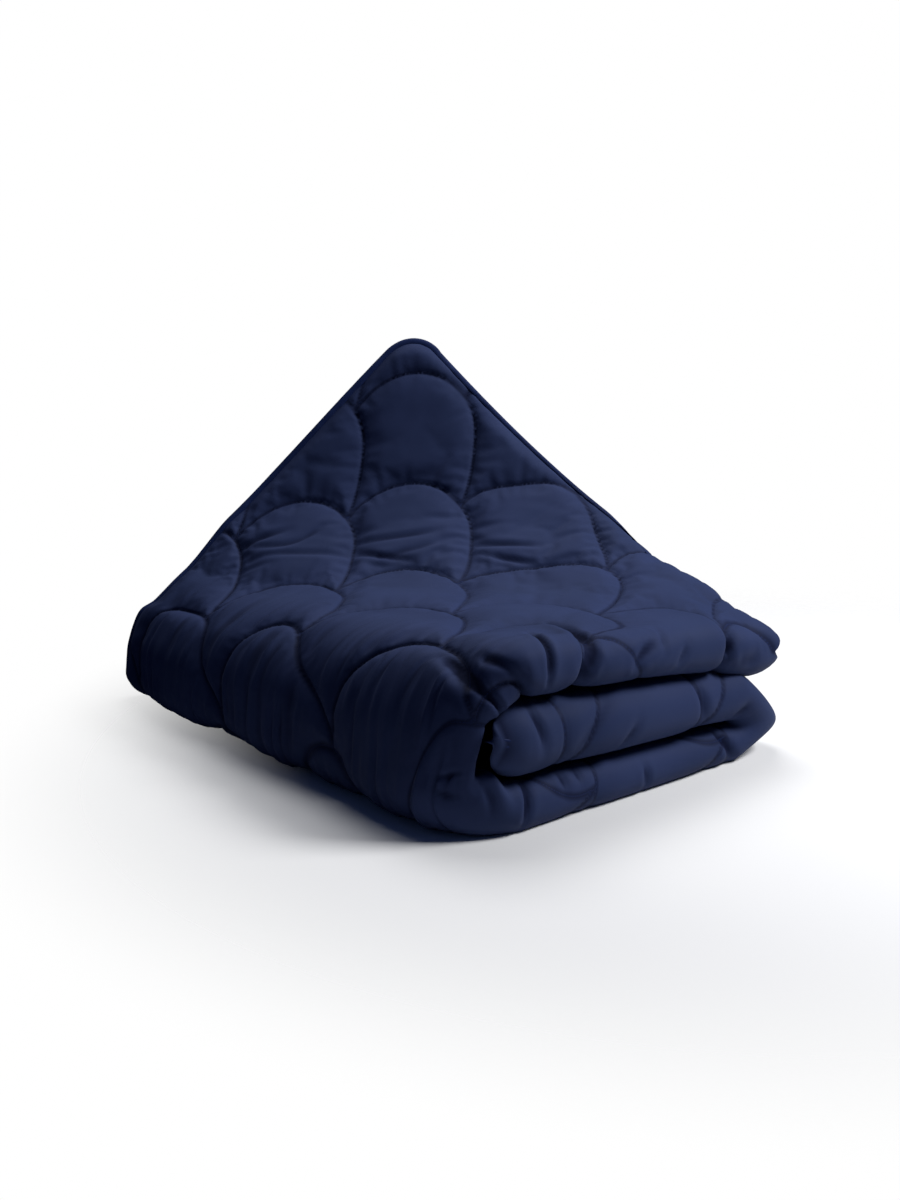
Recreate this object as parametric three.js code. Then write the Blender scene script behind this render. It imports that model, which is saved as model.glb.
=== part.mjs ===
// A quilted double duvet, folded in half and then in three, with the back corner of its upper ply
// lifted.
// Millimetres, +Z up. X runs across the folded pile and Y along its folds.
import * as THREE from 'three';

// Folded pile
const PILE_WIDTH = 720;
const PILE_DEPTH = 1000;

// Layers of the pile, each of two plies, from the floor up
const BOTTOM_LAYER = 82;
const MIDDLE_LAYER = 118;
const TOP_LAYER = 86;
const MIDDLE_RUN = 532;
const PLY_CLEARANCE = 7;
const LAYER_GAP = 8;
const TOP_SETBACK = 6;
const TOP_SKEW = 20;
const SINK = 6;

// Free ends of the strip: the share of thickness kept at the edge, where the two plies are tucked
// together, and how far they turn over, draw in and droop there; further back the top end lies loose
const FREE_END = { reach: 60, top: 0.62, middle: 0.5, turn: 12, drawIn: 24, droop: 17, sagReach: 120 };
const LOOSE_END = { from: 250, to: 450, share: 0.8 };

// Left fold: its layer is drawn thin along the drop, its foot spreads and its nook fills up
const LEFT_FOOT = 42;
const FOLD_THIN = { share: 0.5, from: 0.08, full: 0.5, back: 0.7, end: 1 };
const FOLD_INSET = 12;
const FOOT_SPREAD = 30;
const FOOT_OUT = 18;
const BOTTOM_INSET = 10;
const NOOK = { rise: 30, reach: 40, fromLeft: 50, low: 100, high: 210 };

// Right fold, pressed to a wedge that points out and sags
const RIGHT_PINCH = 0.55;
const RIGHT_SAG = 18;
const RIGHT_POINT = 12;

// Ends of the left fold: the front one is rounded in plan and raised, and the back one is drawn in
const CORNER_PLAN = 120;
const CORNER_PAST = 1.1;
const CORNER_LIFT = 26;
const BACK_DRAW = 14;

// Section of the half fold along the front: 1 is round and less is squarer
const FOLD_SQUARE = 0.7;

// How far each corner of the pile is pressed down or plumped up, as a share of the full height
const LOFT = { front: 1.05, left: 0.65, right: 0.78, back: 0.87 };

// Lifted corner: its hinge direction and the slope of the cloth at each distance from the corner
const LIFT_TURN = 44.5;
const LIFT_LEAN = 0.075;
const LIFT_CURL = 0.00016;
const LIFT_FOLD_MARGIN = 150;
const LIFT_FADE = { share: 0.8, from: 460, to: 680 };
const LIFT_SLOPES = [
  { fromTip: 0, degrees: 68 },
  { fromTip: 150, degrees: 68 },
  { fromTip: 280, degrees: 60 },
  { fromTip: 400, degrees: 40 },
  { fromTip: 520, degrees: 26 },
  { fromTip: 640, degrees: 0 },
  { fromTip: 760, degrees: 6 },
  { fromTip: 900, degrees: 0 },
];
const LIFT_STEP = 5;

// Scallop quilting, a square lattice of overlapping circles turned to point at the lifted corner
const SCALLOP_PITCH = 218;
const SCALLOP_RADIUS = 0.6 * SCALLOP_PITCH;
const SCALLOP_TURN = 47.4;
const FIRST_SCALLOP = { across: 0, fromTip: 85 };
const ARC_STEPS = 12;
const SIDE_STEPS = 6;
const SEAM_HALF = 4.5;
const PILLOW_REACH = 60;
const EDGE_REACH = 40;
const FRONT_REACH = 60;
const FRONT_SHALLOW = { low: 0.75, top: 0.6, from: 360, to: 440 };
const GATHER = { drift: 45, from: 560, full: 640, back: 700, end: 820, near: 30, far: 170 };
const SEAM_SNAP = 9.5;
const FOLD_SNAP = 4;
const FLOOR_PRESS = 5;

// Sewn edge and its binding
const CORNER_RADIUS = 65;
const EDGE_HALF = 4;
const BINDING_WIDTH = 11;
const BINDING_HALF = 5;
const BINDING_GAP = 0.5;
const INWARD_STEP = 2;

// Strip's centre line, a C in section: top run, left fold, bottom run, right fold, middle run
const BOTTOM_Z = BOTTOM_LAYER / 2;
const MIDDLE_Z = BOTTOM_LAYER + LAYER_GAP + MIDDLE_LAYER / 2;
const TOP_Z = BOTTOM_LAYER + MIDDLE_LAYER + 2 * LAYER_GAP + TOP_LAYER / 2;
const CREASE_Z = BOTTOM_LAYER + LAYER_GAP / 2;
const LEFT_RADIUS = (TOP_Z - BOTTOM_Z) / 2;
const RIGHT_RADIUS = (MIDDLE_Z - BOTTOM_Z) / 2;
const LEFT_X = LEFT_RADIUS + TOP_LAYER / 2 - PILE_WIDTH / 2;
const RIGHT_X = PILE_WIDTH / 2 - 2 * RIGHT_RADIUS + LAYER_GAP / 2;
const TOP_RUN = PILE_WIDTH / 2 - TOP_SETBACK - LEFT_X;
const LEFT_DROP = LEFT_RADIUS - LEFT_FOOT;
const LEFT_ARC = (Math.PI / 2) * (LEFT_RADIUS + LEFT_FOOT) + 2 * LEFT_DROP;
const BOTTOM_RUN = RIGHT_X - LEFT_X;
const RIGHT_ARC = Math.PI * RIGHT_RADIUS;
const LENGTH = TOP_RUN + LEFT_ARC + BOTTOM_RUN + RIGHT_ARC + MIDDLE_RUN;

// Half fold along the front: v is 0 on it, positive on the outer ply and negative on the inner one
const HALF_FOLD = (Math.PI / 2) * (TOP_LAYER / 4);
const HALF_WIDTH = PILE_DEPTH - TOP_LAYER / 2 + HALF_FOLD;

// Grid lines of the sheet, and how many of them the face between the plies skips
const U_STRETCHES = [
  { length: TOP_RUN, steps: 28, innerSkip: 2 },
  { length: LEFT_ARC, steps: 16, innerSkip: 1 },
  { length: BOTTOM_RUN, steps: 8, innerSkip: 2 },
  { length: RIGHT_ARC, steps: 8, innerSkip: 2 },
  { length: MIDDLE_RUN, steps: 8, innerSkip: 2 },
];
const NEAR_FOLD = 90;
const V_STRETCHES = [
  { length: HALF_WIDTH - HALF_FOLD - NEAR_FOLD, steps: 8, innerSkip: 4 },
  { length: NEAR_FOLD, steps: 4, innerSkip: 4 },
  { length: 2 * HALF_FOLD, steps: 6, innerSkip: 2 },
  { length: NEAR_FOLD, steps: 4, innerSkip: 2 },
  { length: HALF_WIDTH - HALF_FOLD - NEAR_FOLD, steps: 38, innerSkip: 2 },
];

const radians = THREE.MathUtils.degToRad;
const clamp = THREE.MathUtils.clamp;
const lerp = THREE.MathUtils.lerp;
const ease = THREE.MathUtils.smoothstep;

// Rounded free end of the strip: the share of its thickness, and its turn, draw-in and droop
function freeEnd(u, v) {
  const onTop = u < LENGTH / 2;
  const loose = onTop ? ease(Math.abs(v), LOOSE_END.from, LOOSE_END.to) : 0;
  const least = lerp(onTop ? FREE_END.top : FREE_END.middle, LOOSE_END.share, loose);
  const run = clamp(Math.min(u, LENGTH - u) / FREE_END.reach, 0, 1);
  const share = lerp(least, 1, Math.sin((Math.PI / 2) * run));
  const turn = radians(FREE_END.turn) * (1 - loose) * (1 - ease(run, 0, 1)) * Math.sign(v);
  const toEnd = clamp(1 - Math.min(u, LENGTH - u) / FREE_END.sagReach, 0, 1);
  const drawIn = (onTop ? -1 : 1) * FREE_END.drawIn * (1 - loose) * toEnd ** 2;
  const droop = onTop ? FREE_END.droop * (1 - loose) * ease(toEnd, 0, 1) : 0;
  return { share, turn, drawIn, droop };
}

// 1 along the drop of the left fold, easing to 0 on the top run and at its foot
function foldShare(u) {
  const run = (u - TOP_RUN) / LEFT_ARC;
  return ease(run, FOLD_THIN.from, FOLD_THIN.full) * (1 - ease(run, FOLD_THIN.back, FOLD_THIN.end));
}

// 1 on the left fold and the bottom layer, easing to 0 at the shoulder and around the right fold
function lowShare(u) {
  const rightFoldStart = LENGTH - MIDDLE_RUN - RIGHT_ARC;
  return ease(u, TOP_RUN, TOP_RUN + LEFT_ARC / 3) * (1 - ease(u, rightFoldStart, LENGTH - MIDDLE_RUN));
}

// Left fold: a round shoulder, a straight drop, a tighter bend at its foot and a level stretch
function leftFold(run) {
  const shoulder = (Math.PI / 2) * LEFT_RADIUS;
  const foot = shoulder + LEFT_DROP;
  const level = foot + (Math.PI / 2) * LEFT_FOOT;
  if (run < shoulder) {
    const sin = Math.sin(run / LEFT_RADIUS);
    const cos = Math.cos(run / LEFT_RADIUS);
    const z = BOTTOM_Z + LEFT_RADIUS * (1 + cos);
    return { x: LEFT_X - LEFT_RADIUS * sin, z, sideX: -sin, sideZ: cos };
  }
  if (run < foot) {
    const z = BOTTOM_Z + LEFT_RADIUS - (run - shoulder);
    return { x: LEFT_X - LEFT_RADIUS, z, sideX: -1, sideZ: 0 };
  }
  if (run < level) {
    const sin = Math.sin((run - foot) / LEFT_FOOT);
    const cos = Math.cos((run - foot) / LEFT_FOOT);
    const z = BOTTOM_Z + LEFT_FOOT * (1 - sin);
    return { x: LEFT_X - LEFT_DROP - LEFT_FOOT * cos, z, sideX: -cos, sideZ: -sin };
  }
  return { x: LEFT_X - LEFT_DROP + run - level, z: BOTTOM_Z, sideX: 0, sideZ: -1 };
}

// Right fold: a spiral about the crease between the bottom and middle layers
function rightFold(run, half) {
  const sin = Math.sin(run / RIGHT_RADIUS);
  const cos = Math.cos(run / RIGHT_RADIUS);
  const radius = half + LAYER_GAP / 2;
  return { x: RIGHT_X + radius * sin, z: CREASE_Z - radius * cos, sideX: sin, sideZ: -cos };
}

// Centre line of the strip at the distance u from its top free end, and its outward side
function centreLine(u, half, turn) {
  const inLeft = u - TOP_RUN;
  const inBottom = inLeft - LEFT_ARC;
  const inRight = inBottom - BOTTOM_RUN;
  const inMiddle = inRight - RIGHT_ARC;
  const sin = Math.sin(turn);
  const cos = Math.cos(turn);
  if (inLeft < 0) return { x: LEFT_X - inLeft, z: TOP_Z, sideX: sin, sideZ: cos };
  if (inBottom < 0) return leftFold(inLeft);
  if (inRight < 0) return { x: LEFT_X + inBottom, z: BOTTOM_Z, sideX: 0, sideZ: -1 };
  if (inMiddle < 0) return rightFold(inRight, half);
  return { x: RIGHT_X - inMiddle, z: MIDDLE_Z, sideX: -sin, sideZ: cos };
}

// Point and outward side of the strip, half its layer's thickness (half), and what that would be
// if the left fold weren't drawn thin on its inner side (full)
function stripAt(u, v) {
  const inLeft = u - TOP_RUN;
  const inRight = inLeft - LEFT_ARC - BOTTOM_RUN;
  const toBottom = ease(inLeft, 0, LEFT_ARC) * (BOTTOM_LAYER - TOP_LAYER);
  const toMiddle = ease(inRight, 0, RIGHT_ARC) * (MIDDLE_LAYER - BOTTOM_LAYER);
  const end = freeEnd(u, v);
  const full = ((TOP_LAYER + toBottom + toMiddle) / 2) * end.share;
  const half = full * (1 - FOLD_THIN.share * foldShare(u));
  const { x, z, sideX, sideZ } = centreLine(u, half, end.turn);
  const shift = (full - half) / 2;
  return { x: x + sideX * shift + end.drawIn, z: z + sideZ * shift - end.droop, sideX, sideZ, half, full };
}

// Sideways sag: the fold's foot spreads, most towards the front, and the top layer's end lies askew
function sagAt(u, x, y, height) {
  const front = clamp(0.5 - y / PILE_DEPTH, 0, 1);
  const left = clamp(0.5 - x / PILE_WIDTH, 0, 1);
  const low = clamp(1 - height / TOP_Z, 0, 1);
  const askew = clamp(1 - u / TOP_RUN, 0, 1);
  const spread = FOOT_SPREAD * (front * left * low) ** 2 + FOOT_OUT * (left * low) ** 2;
  return -spread - TOP_SKEW * front * askew;
}

// Height of the pile at a place, as a share of the full height, blended between the corners
function loftAt(x, y) {
  const across = clamp(x / PILE_WIDTH + 0.5, 0, 1);
  const along = clamp(y / PILE_DEPTH + 0.5, 0, 1);
  return lerp(lerp(LOFT.front, LOFT.left, along), lerp(LOFT.right, LOFT.back, along), across);
}

// Slope of the lifted cloth, in radians, read off the table in straight steps
function slopeAt(fromTip) {
  const next = LIFT_SLOPES.findIndex((row) => row.fromTip > fromTip);
  if (next < 1) return 0;
  const low = LIFT_SLOPES[next - 1];
  const high = LIFT_SLOPES[next];
  const share = (fromTip - low.fromTip) / (high.fromTip - low.fromTip);
  return radians(lerp(low.degrees, high.degrees, share));
}

// Rise and draw-back of the lifted cloth, added up from where it lies level towards the corner
const LIFT_REACH = LIFT_SLOPES[LIFT_SLOPES.length - 1].fromTip;
const liftTable = [{ rise: 0, drawn: 0 }];
for (let fromTip = LIFT_REACH; fromTip > 0; fromTip -= LIFT_STEP) {
  const slope = slopeAt(fromTip - LIFT_STEP / 2);
  const last = liftTable[liftTable.length - 1];
  const rise = last.rise + LIFT_STEP * Math.sin(slope);
  const drawn = last.drawn + LIFT_STEP * (1 - Math.cos(slope));
  liftTable.push({ rise, drawn });
}

function liftAt(fromTip) {
  const step = clamp((LIFT_REACH - fromTip) / LIFT_STEP, 0, liftTable.length - 1);
  const low = liftTable[Math.floor(step)];
  const high = liftTable[Math.ceil(step)];
  const share = step - Math.floor(step);
  return { rise: lerp(low.rise, high.rise, share), drawn: lerp(low.drawn, high.drawn, share) };
}

// One scallop's stitched line about its own centre: over the top from the left valley, then
// down the right side to the next row
function scallopLine() {
  const valley = Math.sqrt(SCALLOP_RADIUS ** 2 - (SCALLOP_PITCH / 2) ** 2);
  const start = Math.atan2(valley, -SCALLOP_PITCH / 2);
  const sideEnd = Math.acos(SCALLOP_PITCH / 2 / SCALLOP_RADIUS);
  const sideDrop = (SCALLOP_PITCH - valley) / Math.sin(sideEnd);
  const points = [];
  for (let k = 0; k < ARC_STEPS; k += 1) {
    const angle = start * (1 - k / ARC_STEPS);
    points.push(new THREE.Vector2(SCALLOP_RADIUS * Math.cos(angle), -SCALLOP_RADIUS * Math.sin(angle)));
  }
  for (let k = 0; k <= SIDE_STEPS; k += 1) {
    const angle = (sideEnd * k) / SIDE_STEPS;
    points.push(new THREE.Vector2(SCALLOP_RADIUS * Math.cos(angle), sideDrop * Math.sin(angle)));
  }
  return points;
}
const SCALLOP_LINE = scallopLine();
const PATTERN = { cos: Math.cos(radians(SCALLOP_TURN)), sin: Math.sin(radians(SCALLOP_TURN)) };

function wayToStretch(point, start, end) {
  const run = end.clone().sub(start);
  const share = clamp(point.clone().sub(start).dot(run) / run.lengthSq(), 0, 1);
  return start.clone().addScaledVector(run, share).sub(point);
}

// Draws the stitched lines up a little beside the front end of the left fold, where the cloth is gathered
function gathered(u, v) {
  const along = ease(u, GATHER.from, GATHER.full) * (1 - ease(u, GATHER.back, GATHER.end));
  return u + GATHER.drift * along * (1 - ease(Math.abs(v), GATHER.near, GATHER.far));
}

// Way on the flat sheet from a point to the nearest stitched line, across the rows and
// away from the corner
function wayToSeam(u, v) {
  const drawn = gathered(u, v);
  const across = (HALF_WIDTH - v) * PATTERN.cos - drawn * PATTERN.sin - FIRST_SCALLOP.across;
  const fromCorner = drawn * PATTERN.cos + (HALF_WIDTH - v) * PATTERN.sin;
  const away = fromCorner - FIRST_SCALLOP.fromTip - SCALLOP_RADIUS;
  const column = Math.round(across / SCALLOP_PITCH);
  const row = Math.round(away / SCALLOP_PITCH);
  let nearest = new THREE.Vector2(SCALLOP_PITCH, SCALLOP_PITCH);
  for (let i = column - 1; i <= column + 1; i += 1) {
    for (let j = row - 1; j <= row + 1; j += 1) {
      const local = new THREE.Vector2(across - i * SCALLOP_PITCH, away - j * SCALLOP_PITCH);
      for (let k = 1; k < SCALLOP_LINE.length; k += 1) {
        const way = wayToStretch(local, SCALLOP_LINE[k - 1], SCALLOP_LINE[k]);
        if (way.lengthSq() < nearest.lengthSq()) nearest = way;
      }
    }
  }
  return nearest;
}

// Distance on the flat sheet from a point to its sewn edge, with the corners round
function edgeDistance(u, v) {
  const pastU = Math.max(CORNER_RADIUS - u, u - LENGTH + CORNER_RADIUS);
  const pastV = Math.abs(v) - HALF_WIDTH + CORNER_RADIUS;
  const corner = Math.hypot(Math.max(pastU, 0), Math.max(pastV, 0));
  return CORNER_RADIUS - corner - Math.min(Math.max(pastU, pastV), 0);
}

// Half the thickness of one ply: least on the seams and the edge, and swelling between them. Along the
// half fold the filling is full and its seams are stretched shallow.
function plyHalf(u, v, face) {
  const { half, full } = stripAt(u, v);
  const front = 1 - ease(Math.abs(v), HALF_FOLD, HALF_FOLD + FRONT_REACH);
  const toTop = FRONT_SHALLOW.top * (1 - ease(u, FRONT_SHALLOW.from, FRONT_SHALLOW.to));
  const shallow = front * Math.max(FRONT_SHALLOW.low * lowShare(u), toTop);
  const share = Math.min(wayToSeam(u, v).length() / PILLOW_REACH, 1);
  const edgeShare = clamp(edgeDistance(u, v) / EDGE_REACH, 0, 1);
  const layerHalf = face > 0 && v > 0 ? full : half;
  const crown = lerp((layerHalf - PLY_CLEARANCE) / 2, half / 2, front);
  const swell = lerp(SEAM_HALF, crown, lerp(share * (2 - share), 1, shallow));
  return lerp(EDGE_HALF, swell, edgeShare * (2 - edgeShare));
}

// Settles a point of the folded pile: the right fold is pressed to a wedge, the nook inside the left
// fold fills up, and the front corner is rounded in plan and raised a little
function settle(u, point, loft) {
  const outLeft = PILE_WIDTH / 2 + point.x;
  if (u > TOP_RUN + LEFT_ARC) {
    const tip = clamp((point.x - RIGHT_X) / (PILE_WIDTH / 2 - RIGHT_X), 0, 1);
    const crease = CREASE_Z * loft - SINK;
    point.z = crease + (point.z - crease) * (1 - RIGHT_PINCH * tip) - RIGHT_SAG * tip ** 2;
    point.x += RIGHT_POINT * tip ** 2;
  }
  if (u < TOP_RUN + LEFT_ARC + BOTTOM_RUN) {
    const inNook = ease(outLeft, NOOK.fromLeft - NOOK.reach, NOOK.fromLeft);
    const pastNook = ease(outLeft, NOOK.fromLeft, NOOK.fromLeft + NOOK.reach);
    const rise = ease(point.z, 0, BOTTOM_LAYER) * (1 - ease(point.z, NOOK.low, NOOK.high));
    point.z += NOOK.rise * inNook * (1 - pastNook) * rise;
  }
  const toLeft = clamp(1 - (PILE_WIDTH / 2 + point.x) / CORNER_PLAN, 0, CORNER_PAST);
  point.x += BACK_DRAW * toLeft * ease(point.y, PILE_DEPTH / 4, PILE_DEPTH / 2);
  const toFront = clamp(1 - (PILE_DEPTH / 2 + point.y) / CORNER_PLAN, 0, CORNER_PAST);
  point.z += CORNER_LIFT * toLeft * toFront * clamp(1 - point.z / TOP_Z, 0, 1);
  point.x += CORNER_PLAN * toLeft * (1 - Math.sqrt(1 - toFront ** 2 / 2));
  point.y += CORNER_PLAN * toFront * (1 - Math.sqrt(1 - toLeft ** 2 / 2));
  return point;
}

// Place of the sheet's point (u, v) at the height off above its middle, in the folded and lifted duvet
function place(u, v, off) {
  const strip = stripAt(u, v);
  const foldAngle = clamp(v / HALF_FOLD, -1, 1) * (Math.PI / 2);
  const cos = Math.cos(foldAngle);
  const sin = Math.abs(Math.sin(foldAngle));
  const square = v > 0 ? lerp(FOLD_SQUARE, 1, lowShare(u)) : FOLD_SQUARE;
  const flatRun = Math.max(Math.abs(v) - HALF_FOLD, 0);
  const runScale = (PILE_DEPTH - strip.half) / (PILE_DEPTH - TOP_LAYER / 2);
  const foldY = strip.half - PILE_DEPTH / 2 + BOTTOM_INSET * lowShare(u) + FOLD_INSET * foldShare(u);
  const middle = strip.half / 2;
  const y = foldY - middle * cos ** square + flatRun * runScale;
  const reach = middle * Math.sign(v) * sin ** square;
  const x = strip.x + strip.sideX * reach;
  const loft = loftAt(x, y);
  const height = (strip.z + strip.sideZ * reach) * loft - SINK;
  const point = new THREE.Vector3(x + sagAt(u, x, y, height), y, height);
  const facing = new THREE.Vector2(cos ** (2 - square), Math.sign(v) * sin ** (2 - square)).normalize();
  const side = off * facing.y;
  const swell = new THREE.Vector3(strip.sideX * side, -off * facing.x, strip.sideZ * side * loft);

  const hinge = new THREE.Vector3(Math.cos(radians(LIFT_TURN)), Math.sin(radians(LIFT_TURN)), 0);
  const fromEdge = HALF_WIDTH - v;
  const curl = LIFT_CURL * (u ** 2 - fromEdge ** 2);
  const fromTip = hinge.x * u + hinge.y * fromEdge + curl;
  const aroundLeft = clamp((u - TOP_RUN) / LEFT_RADIUS, 0, Math.PI);
  const kept = 1 - LIFT_FADE.share * ease(u, LIFT_FADE.from, LIFT_FADE.to);
  const share = ease(v, 0, LIFT_FOLD_MARGIN) * Math.cos(aroundLeft / 2) ** 2 * kept;
  const lift = liftAt(fromTip);
  const slope = slopeAt(fromTip) * share;
  const leaned = swell.clone().multiplyScalar(Math.cos(slope));
  leaned.addScaledVector(hinge, -Math.sin(slope) * swell.z);
  point.addScaledVector(hinge, -lift.drawn * share);
  point.x += hinge.y * LIFT_LEAN * lift.rise * share;
  point.y -= hinge.x * LIFT_LEAN * lift.rise * share;
  point.z += lift.rise * share;
  return settle(u, point.add(leaned), loft);
}

// Sheet's two faces: outer is +1 and the one between the plies is -1, which leaves a narrow hollow
// along the half fold, where the cloth is too thick to crease flat
function facePoint(u, v, face) {
  const swell = plyHalf(u, v, face);
  const flat = ease(Math.abs(v), HALF_FOLD, HALF_FOLD + NEAR_FOLD);
  const inner = Math.min(swell, lerp(SEAM_HALF, swell, flat));
  const onFloor = face > 0 && v > HALF_FOLD && u > TOP_RUN + LEFT_ARC / 2 && u < LENGTH - MIDDLE_RUN;
  const press = onFloor ? FLOOR_PRESS * clamp(edgeDistance(u, v) / EDGE_REACH, 0, 1) : 0;
  const point = place(u, v, face > 0 ? swell + press : -inner);
  point.z = Math.max(point.z, 0);
  return point;
}

function gridLines(stretches, start) {
  const lines = [start];
  const inner = [0];
  for (const { length, steps, innerSkip } of stretches) {
    const from = lines[lines.length - 1];
    for (let k = 1; k <= steps; k += 1) {
      lines.push(from + (length * k) / steps);
      if (k % innerSkip === 0) inner.push(lines.length - 1);
    }
  }
  return { lines, inner };
}

// Draws the square corner of the grid onto a round one
function roundCorner(u, v) {
  const coreU = clamp(u, CORNER_RADIUS, LENGTH - CORNER_RADIUS);
  const coreV = clamp(v, CORNER_RADIUS - HALF_WIDTH, HALF_WIDTH - CORNER_RADIUS);
  const past = new THREE.Vector2(u - coreU, v - coreV);
  const square = Math.max(Math.abs(past.x), Math.abs(past.y));
  if (past.x !== 0 && past.y !== 0) past.setLength(square);
  return { u: coreU + past.x, v: coreV + past.y, coreU, coreV };
}

const U_GRID = gridLines(U_STRETCHES, 0);
const V_GRID = gridLines(V_STRETCHES, -HALF_WIDTH);
const U_LAST = U_GRID.lines.length - 1;
const V_LAST = V_GRID.lines.length - 1;

// Sheet's point on a pair of grid lines, drawn onto a stitched line that passes close by
function sheetAt(i, j) {
  const spot = roundCorner(U_GRID.lines[i], V_GRID.lines[j]);
  const way = wayToSeam(spot.u, spot.v);
  const snap = Math.abs(spot.v) < HALF_FOLD ? FOLD_SNAP : SEAM_SNAP;
  if (edgeDistance(spot.u, spot.v) < EDGE_REACH || way.length() > snap) return spot;
  const u = spot.u - way.x * PATTERN.sin + way.y * PATTERN.cos;
  const v = spot.v - way.x * PATTERN.cos - way.y * PATTERN.sin;
  return { ...spot, u, v };
}

// Sewn edge of the sheet as pairs of grid lines, once around
function edgeLoop() {
  const loop = [];
  for (let j = 0; j < V_LAST; j += 1) loop.push([0, j]);
  for (let i = 0; i < U_LAST; i += 1) loop.push([i, V_LAST]);
  for (let j = V_LAST; j > 0; j -= 1) loop.push([U_LAST, j]);
  for (let i = U_LAST; i > 0; i -= 1) loop.push([i, 0]);
  return loop;
}
const EDGE_LOOP = edgeLoop();

function closedGeometry(points, triangles) {
  const geometry = new THREE.BufferGeometry().setFromPoints(points);
  geometry.setIndex(triangles);
  geometry.computeVertexNormals();
  return geometry;
}

// Two triangles of a four-sided face, split along its shorter diagonal
function splitQuad(points, [a, b, c, d]) {
  const along = points[a].distanceTo(points[c]);
  const across = points[b].distanceTo(points[d]);
  return along < across ? [a, b, c, a, c, d] : [b, c, d, b, d, a];
}

// Ring of grid points around one cell of the face between the plies, with every point of the
// sewn edge kept
function innerCellRing(iLow, iHigh, jLow, jHigh) {
  const ring = [];
  const jStep = (i) => (i === 0 || i === U_LAST ? 1 : jHigh - jLow);
  const iStep = (j) => (j === 0 || j === V_LAST ? 1 : iHigh - iLow);
  for (let i = iLow; i < iHigh; i += iStep(jLow)) ring.push([i, jLow]);
  for (let j = jLow; j < jHigh; j += jStep(iHigh)) ring.push([iHigh, j]);
  for (let i = iHigh; i > iLow; i -= iStep(jHigh)) ring.push([i, jHigh]);
  for (let j = jHigh; j > jLow; j -= jStep(iLow)) ring.push([iLow, j]);
  const originI = iLow === 0 ? iHigh : iLow;
  const originJ = jLow === 0 ? jHigh : jLow;
  const first = ring.findIndex(([i, j]) => i === originI && j === originJ);
  return [...ring.slice(first), ...ring.slice(0, first)];
}

// Filled body: outer face, face between the plies, and the narrow wall of the sewn edge
function bodyGeometry() {
  const points = [];
  const triangles = [];
  const known = new Map();
  const vertex = ([i, j], face) => {
    const key = `${face} ${i} ${j}`;
    if (!known.has(key)) {
      const { u, v } = sheetAt(i, j);
      known.set(key, points.length);
      points.push(facePoint(u, v, face));
    }
    return known.get(key);
  };
  const quad = (...corners) => triangles.push(...splitQuad(points, corners));

  for (let i = 0; i < U_LAST; i += 1) {
    for (let j = 0; j < V_LAST; j += 1) {
      const corners = [[i, j], [i, j + 1], [i + 1, j + 1], [i + 1, j]];
      quad(...corners.map((corner) => vertex(corner, 1)));
    }
  }
  for (let p = 1; p < U_GRID.inner.length; p += 1) {
    for (let q = 1; q < V_GRID.inner.length; q += 1) {
      const [iLow, iHigh] = U_GRID.inner.slice(p - 1, p + 1);
      const [jLow, jHigh] = V_GRID.inner.slice(q - 1, q + 1);
      const ring = innerCellRing(iLow, iHigh, jLow, jHigh);
      const fan = ring.map((corner) => vertex(corner, -1));
      for (let k = 2; k < fan.length; k += 1) triangles.push(fan[0], fan[k - 1], fan[k]);
    }
  }
  EDGE_LOOP.forEach((corner, k) => {
    const next = EDGE_LOOP[(k + 1) % EDGE_LOOP.length];
    quad(vertex(next, 1), vertex(corner, 1), vertex(corner, -1), vertex(next, -1));
  });
  return closedGeometry(points, triangles);
}

// Binding: a folded tape carried once around the sewn edge, just clear of it
function bindingGeometry() {
  const points = [];
  const triangles = [];
  const sides = 4;
  for (const [i, j] of EDGE_LOOP) {
    const { u, v, coreU, coreV } = sheetAt(i, j);
    const upper = facePoint(u, v, 1);
    const lower = facePoint(u, v, -1);
    const rim = place(u, v, 0);
    const inward = new THREE.Vector2(coreU - u, coreV - v).setLength(INWARD_STEP);
    const out = rim.clone().sub(place(u + inward.x, v + inward.y, 0)).normalize();
    const up = upper.sub(lower).normalize().multiplyScalar(BINDING_HALF);
    const near = rim.clone().addScaledVector(out, BINDING_GAP);
    const far = rim.clone().addScaledVector(out, BINDING_GAP + BINDING_WIDTH);
    points.push(near.clone().add(up), far.clone().add(up), far.clone().sub(up), near.clone().sub(up));
  }
  for (let k = 0; k < EDGE_LOOP.length; k += 1) {
    const here = k * sides;
    const next = ((k + 1) % EDGE_LOOP.length) * sides;
    for (let s = 0; s < sides; s += 1) {
      const turn = (s + 1) % sides;
      triangles.push(...splitQuad(points, [here + s, here + turn, next + turn, next + s]));
    }
  }
  return closedGeometry(points, triangles);
}

const bodyCloth = new THREE.MeshStandardMaterial({ color: 0x161d3f, roughness: 0.75, metalness: 0 });
const body = new THREE.Mesh(bodyGeometry(), bodyCloth);
body.name = 'duvet_body';

const bindingTape = new THREE.MeshStandardMaterial({ color: 0x1a2348, roughness: 0.7, metalness: 0 });
const binding = new THREE.Mesh(bindingGeometry(), bindingTape);
binding.name = 'edge_binding';

const duvet = new THREE.Group();
duvet.name = 'duvet';
duvet.add(body, binding);

// Origin at the middle of the pile's box, on the floor
const box = new THREE.Box3().setFromObject(duvet);
const centre = box.getCenter(new THREE.Vector3());
duvet.position.set(-centre.x, -centre.y, -box.min.z);
duvet.updateMatrixWorld(true);

export default duvet;
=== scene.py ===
import math

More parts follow.
